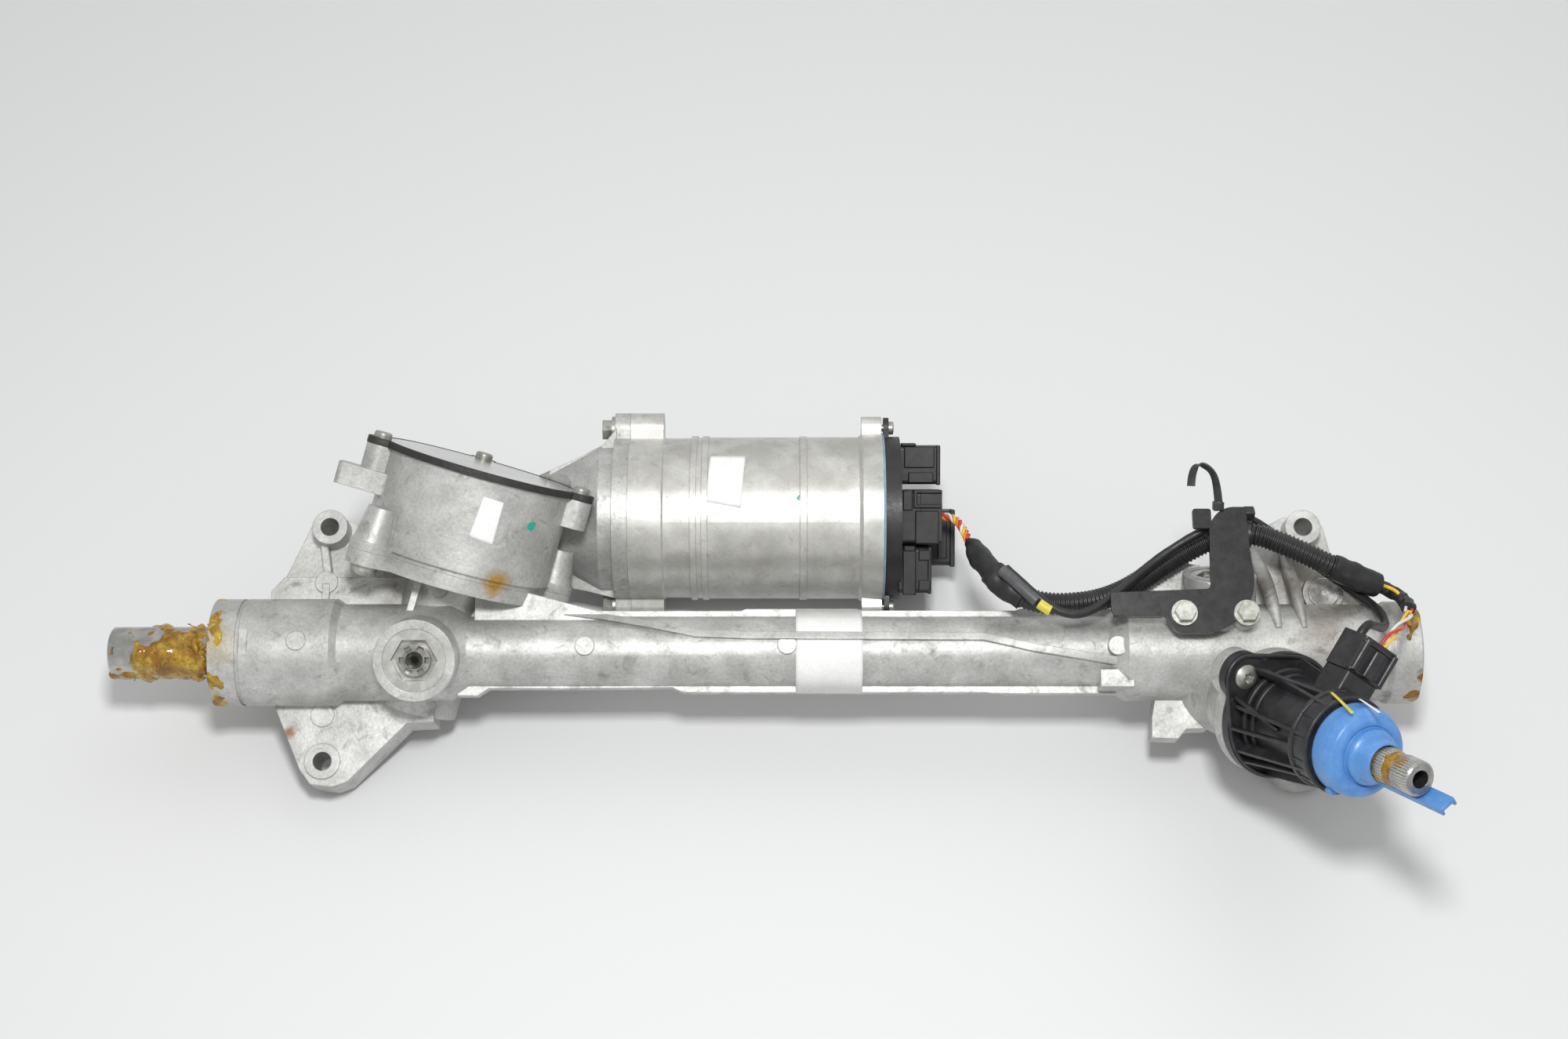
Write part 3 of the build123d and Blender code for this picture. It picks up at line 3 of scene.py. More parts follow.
import bmesh
import bpy
import numpy as np
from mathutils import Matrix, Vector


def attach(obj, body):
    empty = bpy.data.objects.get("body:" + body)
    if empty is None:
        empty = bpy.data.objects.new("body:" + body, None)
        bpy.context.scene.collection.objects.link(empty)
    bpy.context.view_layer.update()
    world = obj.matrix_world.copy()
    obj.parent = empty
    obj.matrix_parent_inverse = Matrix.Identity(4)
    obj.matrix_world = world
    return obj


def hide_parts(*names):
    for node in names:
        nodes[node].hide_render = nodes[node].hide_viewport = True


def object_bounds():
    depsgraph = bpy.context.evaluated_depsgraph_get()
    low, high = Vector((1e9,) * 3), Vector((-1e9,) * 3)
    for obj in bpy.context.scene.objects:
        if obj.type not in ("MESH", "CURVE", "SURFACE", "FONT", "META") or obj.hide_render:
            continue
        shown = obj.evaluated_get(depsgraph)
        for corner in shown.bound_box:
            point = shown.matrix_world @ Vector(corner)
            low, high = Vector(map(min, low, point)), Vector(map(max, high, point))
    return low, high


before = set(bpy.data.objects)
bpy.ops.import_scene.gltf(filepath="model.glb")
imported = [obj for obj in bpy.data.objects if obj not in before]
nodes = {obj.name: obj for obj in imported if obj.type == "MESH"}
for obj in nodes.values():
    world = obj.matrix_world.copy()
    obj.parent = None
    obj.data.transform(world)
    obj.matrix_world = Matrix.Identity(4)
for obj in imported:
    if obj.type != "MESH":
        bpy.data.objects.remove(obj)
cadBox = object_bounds()
print("frame loaded:", len(nodes), "nodes")

# Driving sizes of the gear: angles in degrees, places in drawing mm. It lies turned about X by the first
# angle, so drawing sizes are given before that turn.
gear = {
    "lie": 22, "assistTilt": 18.06, "assistCross": 16.2, "steerTilt": 27.0, "steerCross": 22.8,
    "assistAlong": 113.0, "steerAlong": 547.4, "pinionOffset": 18.5, "motorReach": 73, "wormOffset": 54,
}
lieAngle = math.radians(gear["lie"])
layOver = np.array([
    [1, 0, 0],
    [0, math.cos(lieAngle), -math.sin(lieAngle)],
    [0, math.sin(lieAngle), math.cos(lieAngle)],
])


def placed(points):
    # drawing millimetres to scene metres: one turn about X, then a thousandth
    return np.asarray(points, float) @ layOver.T / 1000


def unit(vector):
    vector = np.asarray(vector, float)
    return vector / np.linalg.norm(vector, axis=-1, keepdims=True)


# Axes of the gear in drawing millimetres: a point, the direction, and the two directions round it
assistTilt, assistCross = math.radians(gear["assistTilt"]), math.radians(gear["assistCross"])
steerTilt, steerCross = math.radians(gear["steerTilt"]), math.radians(gear["steerCross"])
alongRack = np.array([1.0, 0, 0])
yokeWay = np.array([0, -math.sin(assistTilt), math.cos(assistTilt)])
acrossWay = np.array([0, math.cos(assistTilt), math.sin(assistTilt)])
wheelWay = alongRack * math.sin(assistCross) + acrossWay * math.cos(assistCross)
wheelRun = alongRack * math.cos(assistCross) - acrossWay * math.sin(assistCross)
backWay = np.array([0, math.cos(steerTilt), math.sin(steerTilt)])
riseWay = np.array([0, -math.sin(steerTilt), math.cos(steerTilt)])
columnWay = alongRack * math.sin(steerCross) + riseWay * math.cos(steerCross)
columnRun = alongRack * math.cos(steerCross) - riseWay * math.sin(steerCross)
assistPoint = alongRack * gear["assistAlong"]
drumPoint = assistPoint - yokeWay * gear["pinionOffset"]
columnPoint = alongRack * gear["steerAlong"] - backWay * gear["pinionOffset"]
motorPoint = drumPoint + wheelWay * gear["motorReach"] - yokeWay * gear["wormOffset"]
motorPoint[0] = 0
axes = {
    "rack": (np.zeros(3), alongRack, np.array([0, 1.0, 0]), np.array([0, 0, 1.0])),
    "drum": (drumPoint, wheelWay, wheelRun, np.cross(wheelWay, wheelRun)),
    "column": (columnPoint, columnWay, columnRun, np.cross(columnWay, columnRun)),
    "motor": (motorPoint, alongRack, yokeWay, np.cross(alongRack, yokeWay)),
}


# Surfaces: a patch is a grid of points in drawing mm whose rows or columns may close on themselves
def together(*values):
    # the values as arrays of one common shape
    return np.broadcast_arrays(*(np.asarray(value, float) for value in values))


def onRound(axisName, angle, along, radius):
    # the point at an angle round an axis, a distance along it and a radius out from it
    start, way, first, second = axes[axisName]
    angle, along, radius = together(angle, along, radius)
    turn = np.radians(angle)[..., None]
    return start + way * along[..., None] + (first * np.cos(turn) + second * np.sin(turn)) * radius[..., None]


def onAxis(axisName, across, upward, along):
    # the point at two offsets from an axis and a distance along it
    start, way, first, second = axes[axisName]
    across, upward, along = together(across, upward, along)
    return start + way * along[..., None] + first * across[..., None] + second * upward[..., None]


def ripple(across, along, seed, waves=9, finest=6.0):
    # smooth random height between about -1 and 1: a sum of sines with seeded directions and phases
    draws = np.random.default_rng(seed)
    total = np.zeros(np.broadcast(across, along).shape)
    for _ in range(waves):
        pitch = draws.uniform(1.0, finest)
        lean, phase = draws.uniform(0, 2 * np.pi, 2)
        heading = across * np.cos(lean) + along * np.sin(lean)
        total = total + np.sin(pitch * heading + phase) / np.sqrt(waves / 2)
    return total


def soften(points, reach, steps=5):
    # each inner corner becomes a parabola between the points `reach` before and after it, where both its
    # runs leave room: at most 0.45 of the shorter one
    points = np.asarray(points, float)
    runs = np.linalg.norm(np.diff(points, axis=0), axis=1)
    ways = np.diff(points, axis=0) / runs[:, None]
    cut = np.minimum(reach, 0.45 * np.minimum(runs[:-1], runs[1:]))[:, None]
    corner, first, last = points[1:-1], points[1:-1] - ways[:-1] * cut, points[1:-1] + ways[1:] * cut
    share = np.linspace(0, 1, steps)[None, :, None]
    bends = (first[:, None] * (1 - share) ** 2 + 2 * corner[:, None] * share * (1 - share)
             + last[:, None] * share ** 2)
    return np.vstack([points[:1], bends.reshape(-1, points.shape[1]), points[-1:]])


def ringOf(corners, reach, steps=5):
    # a closed outline with softened corners, its start in the middle of the last run
    corners = np.asarray(corners, float)
    middle = (corners[:1] + corners[-1:]) / 2
    return soften(np.vstack([middle, corners, middle]), reach, steps)[:-1]


def oblong(halfWide, halfHigh, reach, steps=4):
    corners = np.array([(-1, -1), (1, -1), (1, 1), (-1, 1)]) * (halfWide, halfHigh)
    return ringOf(corners, reach, steps)


def turned(place, profile, around=72, wrap=False):
    # a profile of (along, radius) turned round a place's line: radius 0 at both ends closes it, or it wraps
    # on itself
    start, way, first, second = place
    profile = np.asarray(profile, float)[:, None, :]
    turn = np.linspace(0, 2 * np.pi, around, endpoint=False)[None, :, None]
    ring = first * np.cos(turn) + second * np.sin(turn)
    return start + way * profile[..., :1] + ring * profile[..., 1:], wrap, True


def raised(place, outline, levels, wrap=False):
    # an outline carried through (height, inset) levels: each point moves in along its corner's bisector
    start, way, first, second = place
    outline = np.asarray(outline, float)
    forward = unit(np.roll(outline, -1, axis=0) - np.roll(outline, 1, axis=0))
    inward = np.stack([-forward[:, 1], forward[:, 0]], axis=1)
    heights, insets = np.asarray(levels, float).T
    rings = outline[None] + inward[None] * insets[:, None, None]
    if not wrap:
        middle = np.repeat(outline.mean(axis=0)[None, None], len(outline), axis=1)
        rings = np.vstack([middle, rings, middle])
        heights = np.concatenate([heights[:1], heights, heights[-1:]])
    grid = start + way * heights[:, None, None] + first * rings[..., :1] + second * rings[..., 1:]
    return grid, wrap, True


def placeAlong(axisName, along):
    # an axis's own frame, moved a distance along it
    start, way, first, second = axes[axisName]
    return start + way * along, way, first, second


def placeOn(axisName, angle, radius, along, outwards=False):
    # a small frame on an axis: level with it, or standing out from it at the angle
    start, way, first, second = axes[axisName]
    turn = math.radians(angle)
    out = first * math.cos(turn) + second * math.sin(turn)
    side = second * math.cos(turn) - first * math.sin(turn)
    origin = start + way * along + out * radius
    return (origin, out, way, np.cross(out, way)) if outwards else (origin, way, out, side)


def routeLine(points, spacing):
    # a cable's line: a NURBS spline of order 3 over control points, read back with even stations along it
    curve = bpy.data.curves.new("route", "CURVE")
    curve.dimensions, curve.resolution_u = "3D", 16
    spline = curve.splines.new("NURBS")
    spline.points.add(len(points) - 1)
    spline.points.foreach_set("co", np.hstack([np.asarray(points, float), np.ones((len(points), 1))]).ravel())
    spline.order_u, spline.use_endpoint_u = 3, True
    holder = bpy.data.objects.new("route", curve)
    mesh = bpy.data.meshes.new_from_object(holder)
    line = np.empty(len(mesh.vertices) * 3, np.float32)
    mesh.vertices.foreach_get("co", line)
    line = line.reshape(-1, 3).astype(float)
    bpy.data.objects.remove(holder)
    bpy.data.meshes.remove(mesh)
    reach = np.concatenate([[0], np.cumsum(np.linalg.norm(np.diff(line, axis=0), axis=1))])
    stations = np.linspace(0, reach[-1], max(int(reach[-1] / spacing), 6) + 1)
    return np.stack([np.interp(stations, reach, values) for values in line.T], axis=1), stations


def capped(line, ring):
    # a tube's rings closed by its line's first and last points
    first, last = (np.repeat(end[None, None], ring.shape[1], axis=1) for end in (line[0], line[-1]))
    return np.vstack([first, ring, last]), False, True


def sidesOf(line, lean=(0.3, 0.5, -0.8)):
    # the heading along a line and the two directions round it, from a lean that no line here points along
    heading = unit(np.gradient(line, axis=0))
    first = unit(np.cross(heading, np.array(lean)))
    return heading, first, np.cross(heading, first)


def hose(line, stations, radius, around=18):
    # a circle carried along a line; the radius may change with the station and the angle
    _, first, second = sidesOf(line)
    turn = np.linspace(0, 2 * np.pi, around, endpoint=False)
    reach = radius(stations[:, None], turn[None, :]) if callable(radius) else radius
    reach = np.broadcast_to(reach, (len(line), around))[..., None]
    out = first[:, None] * np.cos(turn)[None, :, None] + second[:, None] * np.sin(turn)[None, :, None]
    return capped(line, line[:, None] + reach * out)


def strand(line, stations, turns, swing, phase):
    # one wire of a bundle: the line pushed sideways by a helix of the given turns and swing
    _, first, second = sidesOf(line)
    turn = 2 * np.pi * (turns * stations / stations[-1] + phase)
    return line + swing * (first * np.cos(turn)[:, None] + second * np.sin(turn)[:, None])


# in metres: points closer than the first become one, and edges shorter than the second go
mergeReach, smallestEdge = 2e-6, 1e-7


def makePiece(name, patches, finish, body, thickness=0.0, crease=38):
    # patches become one mesh: faces by rows and columns, doubles merged and closed shells turned outwards
    points, faces, count = [], [], 0
    for grid, wrapRows, wrapColumns in patches:
        rows, columns = grid.shape[:2]
        index = np.arange(rows * columns).reshape(rows, columns) + count
        index = np.vstack([index, index[:1]]) if wrapRows else index
        index = np.hstack([index, index[:, :1]]) if wrapColumns else index
        corners = [index[:-1, :-1], index[:-1, 1:], index[1:, 1:], index[1:, :-1]]
        faces.append(np.stack(corners, axis=-1).reshape(-1, 4))
        points.append(grid.reshape(-1, 3))
        count += rows * columns
    mesh = bpy.data.meshes.new(name)
    mesh.from_pydata(placed(np.vstack(points)).tolist(), [], np.vstack(faces).tolist())
    shell = bmesh.new()
    shell.from_mesh(mesh)
    bmesh.ops.remove_doubles(shell, verts=shell.verts, dist=mergeReach)
    bmesh.ops.dissolve_degenerate(shell, edges=shell.edges, dist=smallestEdge)
    bmesh.ops.recalc_face_normals(shell, faces=shell.faces)
    shell.to_mesh(mesh)
    shell.free()
    mesh.polygons.foreach_set("use_smooth", [True] * len(mesh.polygons))
    mesh.set_sharp_from_angle(angle=math.radians(crease))
    mesh.materials.append(materials[finish])
    piece = bpy.data.objects.new(name, mesh)
    bpy.context.scene.collection.objects.link(piece)
    if thickness:
        wall = piece.modifiers.new("wall", "SOLIDIFY")
        wall.thickness, wall.offset = thickness / 1000, 0.0
    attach(piece, body)
    return piece


# Colour and node helpers
def shade(hexCode, alpha=1.0):
    # sRGB hex to linear: the standard curve, channel by channel
    channels = [int(hexCode[place:place + 2], 16) / 255 for place in (1, 3, 5)]
    linear = [value / 12.92 if value <= 0.04045 else ((value + 0.055) / 1.055) ** 2.4 for value in channels]
    return (*linear, alpha)


def addNode(tree, kind, settings=None, links=None):
    node = tree.nodes.new(kind)
    for name, value in (settings or {}).items():
        if isinstance(name, int) or name in node.inputs:
            node.inputs[name].default_value = value
        else:
            setattr(node, name, value)
    for name, source in (links or {}).items():
        tree.links.new(source, node.inputs[name])
    return node


# Finishes: sRGB colours of the clean, rubbed and stained surface; patch, grain, its depth and the rounding of
# edges in mm. What most moulded plastics share stands first.
plainFinish = {"metallic": 0.0, "stainShare": 0.62, "grain": 0.4, "grainDepth": 0.01, "patch": 6, "edge": 0.2}
finishes = {
    # die-cast aluminium, shot-blasted: even grey, fine pits, pale rubbed patches and brown handling marks
    "castAluminium": {
        "colour": "#AFAFAC", "worn": "#CACAC7", "stain": "#655A4B", "stainShare": 0.55, "metallic": 0.55,
        "roughness": 0.48, "grain": 1.7, "grainDepth": 0.16, "patch": 22, "edge": 0.8,
        "spots": [((154.7, 31.2, 33.9), 11, "#A8801F", 0.9), ((39, -43, -8), 5, "#7A4A22", 0.8),
                  ((45, -68, -8), 5, "#7A4A22", 0.8), ((73, 48, 0), 11, "#5B5347", 0.7),
                  ((124, 42, 15), 10, "#5B5347", 0.6), ((130, 40, 20), 8, "#8A6A2A", 0.6),
                  ((3, 0, 29), 16, "#A98B2E", 0.4), ((612, 20, 10), 18, "#6E5B41", 0.5),
                  ((608.2, 33.6, -2), 15, "#615849", 0.75), ((582, 34, 8), 17, "#6B5F4F", 0.6),
                  ((597, 46, -6), 20, "#75695A", 0.55), ((566, 30, 15), 14, "#6B5F4F", 0.55),
                  ((600, 8, 25), 20, "#7B6E5D", 0.45), ((632, 30, 5), 20, "#77694F", 0.5),
                  ((78, 30, 16), 15, "#6E6455", 0.5), ((95, 34, 10), 16, "#6E6455", 0.5),
                  ((503.6, 36.1, 4.5), 3.4, "#C22C96", 1.0)],
    },
    # drawn and cast motor shells: smoother than the gear casting, with faint water marks
    "motorAluminium": {
        "colour": "#B8B7B2", "worn": "#D0CFCB", "stain": "#8A8576", "stainShare": 0.56, "metallic": 0.58,
        "roughness": 0.40, "grain": 0.6, "grainDepth": 0.02, "patch": 18, "edge": 0.6,
    },
    # stamped sheet steel with a grey coat
    "coverSheet": {
        "colour": "#A6A7A4", "worn": "#C1C2C0", "stain": "#7D7C76", "metallic": 0.85, "roughness": 0.17,
        "grain": 0.5, "grainDepth": 0.008, "patch": 30, "edge": 0.5,
    },
    # ground and hardened steel with an oil film
    "groundSteel": {
        "colour": "#9C9B98", "worn": "#C4C3C0", "stain": "#5F554A", "stainShare": 0.60, "metallic": 0.95,
        "roughness": 0.26, "grain": 0.35, "grainDepth": 0.004, "patch": 12, "edge": 0.3,
    },
    # sintered steel
    "sinteredSteel": {
        "colour": "#77757B", "worn": "#99979B", "stain": "#4C4742", "metallic": 0.9, "roughness": 0.45,
        "grain": 0.5, "grainDepth": 0.02, "patch": 9, "edge": 0.3,
    },
    # bright turned steel of the yoke plugs
    "turnedSteel": {
        "colour": "#B2B1AC", "worn": "#CFCECA", "stain": "#8A877F", "stainShare": 0.62, "metallic": 0.75,
        "roughness": 0.36, "grain": 0.3, "grainDepth": 0.004, "patch": 8, "edge": 0.4,
        # on the assist plug's face: a dark grey patch that fades out by 12.5 mm, and inside it a near-black
        # disc that is painted shade in the plug's socket recess
        "spots": [(assistPoint + yokeWay * 35.0, 12.5, "#57574D", 0.9),
                  (assistPoint + yokeWay * 34.0, 5.4, "#101011", 1.0)],
    },
    # zinc-plated bolts and screws
    "zincSteel": {
        "colour": "#96968F", "worn": "#B9B9B2", "stain": "#6F6A58", "stainShare": 0.58, "metallic": 0.75,
        "roughness": 0.38, "grainDepth": 0.006, "patch": 4, "edge": 0.3,
    },
    # laminated iron
    "laminatedIron": {
        "colour": "#5B5B5E", "worn": "#7C7C7E", "stain": "#3F3B38", "stainShare": 0.6, "metallic": 0.85,
        "roughness": 0.5, "grainDepth": 0.02, "patch": 7,
    },
    # glass-filled black nylon, moulded: deep grey with a soft sheen and dust
    "blackNylon": {
        "colour": "#222224", "worn": "#343436", "stain": "#454340", "stainShare": 0.66, "roughness": 0.40,
        "grain": 0.35, "patch": 9, "edge": 0.4,
    },
    # black powder paint on the pressed bracket
    "blackPaint": {
        "colour": "#151516", "worn": "#232324", "stain": "#33312E", "stainShare": 0.68, "roughness": 0.28,
        "grain": 0.8, "grainDepth": 0.012, "patch": 12, "edge": 0.5,
    },
    # blue moulded polypropylene cap
    "bluePolypropylene": {
        "colour": "#5088C8", "worn": "#6296D2", "stain": "#4479B8", "stainShare": 0.60, "roughness": 0.34,
        "grain": 0.6, "grainDepth": 0.006, "patch": 8, "edge": 0.6,
    },
    # blue-grey moulded seal
    "sealRubber": {
        "colour": "#7C93A4", "worn": "#93A7B5", "stain": "#5F7280", "roughness": 0.6, "edge": 0.3,
    },
    # dark seal under the drum's cover
    "darkRubber": {
        "colour": "#1F1E1D", "worn": "#2E2C2A", "stain": "#3B3733", "stainShare": 0.6, "roughness": 0.62,
    },
    # low-friction plastic and machined polyamide inside
    "bushPlastic": {
        "colour": "#33322F", "worn": "#45443F", "stain": "#292825", "stainShare": 0.6, "roughness": 0.5,
    },
    "gearPolyamide": {
        "colour": "#DED3B4", "worn": "#EAE1C8", "stain": "#B9A878", "stainShare": 0.6, "roughness": 0.45,
        "patch": 9,
    },
    # green lacquered circuit board
    "boardLacquer": {
        "colour": "#14502A", "worn": "#1D6B3A", "stain": "#0F3A20", "stainShare": 0.6, "roughness": 0.3,
        "grainDepth": 0.006,
    },
    # cloth and vinyl tape on the harness
    "harnessTape": {
        "colour": "#18181A", "worn": "#262628", "stain": "#3D3A36", "roughness": 0.48, "grain": 0.5,
        "grainDepth": 0.03, "patch": 7,
    },
    # freshly turned steel face: bright, with circular tool marks too fine to draw
    "brightTurned": {
        "colour": "#C2C1BD", "worn": "#DDDCD9", "stain": "#A3A19B", "stainShare": 0.66, "metallic": 0.85,
        "roughness": 0.30, "grain": 0.3, "grainDepth": 0.004, "patch": 5,
    },
    # corrugated polyamide hose: near black, satin, dusty in its grooves
    "conduitNylon": {
        "colour": "#1B1B1C", "worn": "#2C2C2D", "stain": "#3A3732", "stainShare": 0.60, "roughness": 0.36,
        "patch": 8, "edge": 0.1,
    },
    # moulded sockets, greyer and duller than the sensor housing
    "socketNylon": {
        "colour": "#1C1C1E", "worn": "#28282A", "stain": "#403E3C", "roughness": 0.46, "grain": 0.35,
        "patch": 7,
    },
    # rubbery sleeve of the thin cable
    "cableSleeve": {
        "colour": "#1A1A1B", "worn": "#272728", "stain": "#34322F", "stainShare": 0.64, "roughness": 0.42,
        "patch": 9, "edge": 0.1,
    },
    # heat-shrunk grey sleeve
    "greySleeve": {
        "colour": "#4B4B4E", "worn": "#5B5B5E", "stain": "#3B3B3D", "roughness": 0.40, "grainDepth": 0.02,
        "edge": 0.1,
    },
    # coated paper labels, left blank
    "labelPaper": {
        "colour": "#E9E9E7", "worn": "#F2F2F0", "stain": "#CFCCC4", "stainShare": 0.66, "roughness": 0.42,
        "grain": 0.6, "grainDepth": 0.004, "patch": 12, "edge": 0.05,
    },
    # marker paint dots
    "tealPaint": {
        "colour": "#1A9C85", "worn": "#2BB39B", "stain": "#12806C", "roughness": 0.35, "grainDepth": 0.02,
        "patch": 3, "edge": 0.1,
    },
    # yellow paper tape
    "yellowTape": {
        "colour": "#CDBE3A", "worn": "#DCCF57", "stain": "#9C8D2B", "stainShare": 0.6, "roughness": 0.45,
        "patch": 5, "edge": 0.1,
    },
    # old lithium grease: amber where thick, brown-black where it holds metal dust, wet gloss
    "amberGrease": {
        "colour": "#8E6412", "worn": "#C9A83C", "stain": "#2E210F", "stainShare": 0.46, "roughness": 0.16,
        "grain": 1.2, "grainDepth": 0.08, "patch": 9, "edge": 0.3,
    },
}
# insulation of single wires: smooth extruded plastic
wireColours = {
    "redWire": ("#C8331F", "#D94A36", "#9C2617"),
    "orangeWire": ("#E2791F", "#EC8E3D", "#B45D14"),
    "yellowWire": ("#E3B92A", "#EDC94B", "#B5901B"),
    "whiteWire": ("#DDDCD6", "#E9E8E3", "#B9B6AB"),
}
for name, (colour, worn, stain) in wireColours.items():
    finishes[name] = {"colour": colour, "worn": worn, "stain": stain, "roughness": 0.38, "grain": 0.3,
                      "grainDepth": 0.005, "patch": 5, "edge": 0.1}
# how the noises turn into tones: shares of their range, and divisors of a spot's reach
toneSettings = {
    "patchRange": (0.42, 0.68), "smearRatio": 2.4, "stainWidth": 0.16, "stainMost": 0.55,
    "middleRange": (0.3, 0.7), "speckle": (0.86, 1.09), "dullness": (0.82, 1.25), "pitStrength": 0.6,
    "spotNoise": 900, "spotShift": 1600, "spotCore": 2500,
}


def makeFinish(name, finish, tones=toneSettings):
    # One shader for a worked surface: two tones by large noise, stains by a second, pits by a third.
    # Noise scale = 1 / size in metres; the bump depth is in metres too.
    finish = {**plainFinish, **finish}
    low, high = tones["middleRange"]
    material = bpy.data.materials.new(name)
    material.use_nodes = True
    tree = material.node_tree
    tree.nodes.clear()
    place = addNode(tree, "ShaderNodeTexCoord").outputs["Object"]
    patch = addNode(tree, "ShaderNodeTexNoise",
                    {"Scale": 1000 / finish["patch"], "Detail": 6.0, "Roughness": 0.6}, {"Vector": place})
    smear = addNode(tree, "ShaderNodeTexNoise",
                    {"Scale": 1000 * tones["smearRatio"] / finish["patch"], "Detail": 8.0, "Roughness": 0.72,
                     "Distortion": 0.6}, {"Vector": place})
    grain = addNode(tree, "ShaderNodeTexNoise",
                    {"Scale": 1000 / finish["grain"], "Detail": 3.0, "Roughness": 0.6}, {"Vector": place})
    rubbed = addNode(tree, "ShaderNodeMapRange",
                     {"From Min": tones["patchRange"][0], "From Max": tones["patchRange"][1]},
                     {"Value": patch.outputs["Fac"]})
    toned = addNode(tree, "ShaderNodeMix",
                    {"data_type": "RGBA", 6: shade(finish["colour"]), 7: shade(finish["worn"])},
                    {0: rubbed.outputs["Result"]})
    marks = addNode(tree, "ShaderNodeMapRange",
                    {"From Min": finish["stainShare"], "From Max": finish["stainShare"] + tones["stainWidth"],
                     "To Max": tones["stainMost"]}, {"Value": smear.outputs["Fac"]})
    toned = addNode(tree, "ShaderNodeMix", {"data_type": "RGBA", 7: shade(finish["stain"])},
                    {0: marks.outputs["Result"], 6: toned.outputs[2]}).outputs[2]
    for point, reach, colour, strength in finish.get("spots", ()):
        # a mark round one point: full at its middle, its edge moved by the smear noise, gone at its reach
        away = addNode(tree, "ShaderNodeVectorMath", {"operation": "DISTANCE", 1: placed(point)}, {0: place})
        broken = addNode(tree, "ShaderNodeMath",
                         {"operation": "MULTIPLY_ADD", 1: -reach / tones["spotNoise"],
                          2: reach / tones["spotShift"]}, {0: smear.outputs["Fac"]})
        spread = addNode(tree, "ShaderNodeMath", {"operation": "ADD"},
                         {0: away.outputs["Value"], 1: broken.outputs["Value"]})
        share = addNode(tree, "ShaderNodeMapRange",
                        {"From Min": reach / tones["spotCore"], "From Max": reach / 1000,
                         "To Min": strength, "To Max": 0.0}, {"Value": spread.outputs[0]})
        toned = addNode(tree, "ShaderNodeMix", {"data_type": "RGBA", 7: shade(colour)},
                        {0: share.outputs["Result"], 6: toned}).outputs[2]
    speckle = addNode(tree, "ShaderNodeMapRange",
                      {"From Min": low, "From Max": high, "To Min": tones["speckle"][0],
                       "To Max": tones["speckle"][1]}, {"Value": grain.outputs["Fac"]})
    colour = addNode(tree, "ShaderNodeVectorMath", {"operation": "SCALE"},
                     {0: toned, "Scale": speckle.outputs["Result"]})
    dull = addNode(tree, "ShaderNodeMapRange",
                   {"From Min": low, "From Max": high, "To Min": finish["roughness"] * tones["dullness"][0],
                    "To Max": finish["roughness"] * tones["dullness"][1]}, {"Value": smear.outputs["Fac"]})
    rounded = addNode(tree, "ShaderNodeBevel", {"samples": 4, "Radius": finish["edge"] / 1000})
    pits = addNode(tree, "ShaderNodeBump",
                   {"Strength": tones["pitStrength"], "Distance": finish["grainDepth"] / 1000},
                   {"Height": grain.outputs["Fac"], "Normal": rounded.outputs["Normal"]})
    surface = addNode(tree, "ShaderNodeBsdfPrincipled", {"Metallic": finish["metallic"]},
                      {"Base Color": colour.outputs["Vector"], "Roughness": dull.outputs["Result"],
                       "Normal": pits.outputs["Normal"]})
    addNode(tree, "ShaderNodeOutputMaterial", {}, {"Surface": surface.outputs["BSDF"]})
    return material


materials = {name: makeFinish(name, finish) for name, finish in finishes.items()}
print("materials made:", len(materials))

nodeFinish = {
    "castAluminium": ["rack_housing", "worm_housing", "rear_shield"],
    "motorAluminium": ["motor_housing", "control_housing"],
    "coverSheet": ["gear_cover"],
    "groundSteel": ["rack_bar", "assist_pinion", "worm", "assist_pinion_bearings",
                    "steering_pinion_bearings", "worm_bearings", "motor_shaft", "motor_bearings",
                    "steering_pinion", "torsion_bar", "input_shaft"],
    "sinteredSteel": ["assist_yoke", "steering_yoke", "assist_yoke_spring", "steering_yoke_spring",
                      "wheel_hub", "shaft_coupling"],
    "turnedSteel": ["assist_yoke_plug", "steering_yoke_plug", "side_plug"],
    "zincSteel": ["gear_cover_screws", "gearbox_bolts", "motor_bolts", "end_cover_screws", "bracket_bolts"],
    "laminatedIron": ["motor_rotor", "stator", "magnet_ring"],
    "blackNylon": ["sensor_housing", "sensor_plug"],
    "socketNylon": ["end_cover", "signal_plug"],
    "blackPaint": ["harness_bracket"],
    "sealRubber": ["control_seal"],
    "darkRubber": ["gear_cover_seal", "sensor_seal"],
    "bushPlastic": ["left_rack_bush", "right_rack_bush"],
    "gearPolyamide": ["worm_wheel"],
    "boardLacquer": ["circuit_board", "sensor_board"],
}
for finishName, group in nodeFinish.items():
    for nodeName in group:
        nodes[nodeName].data.materials.clear()
        nodes[nodeName].data.materials.append(materials[finishName])
print("nodes finished:", sum(len(group) for group in nodeFinish.values()))

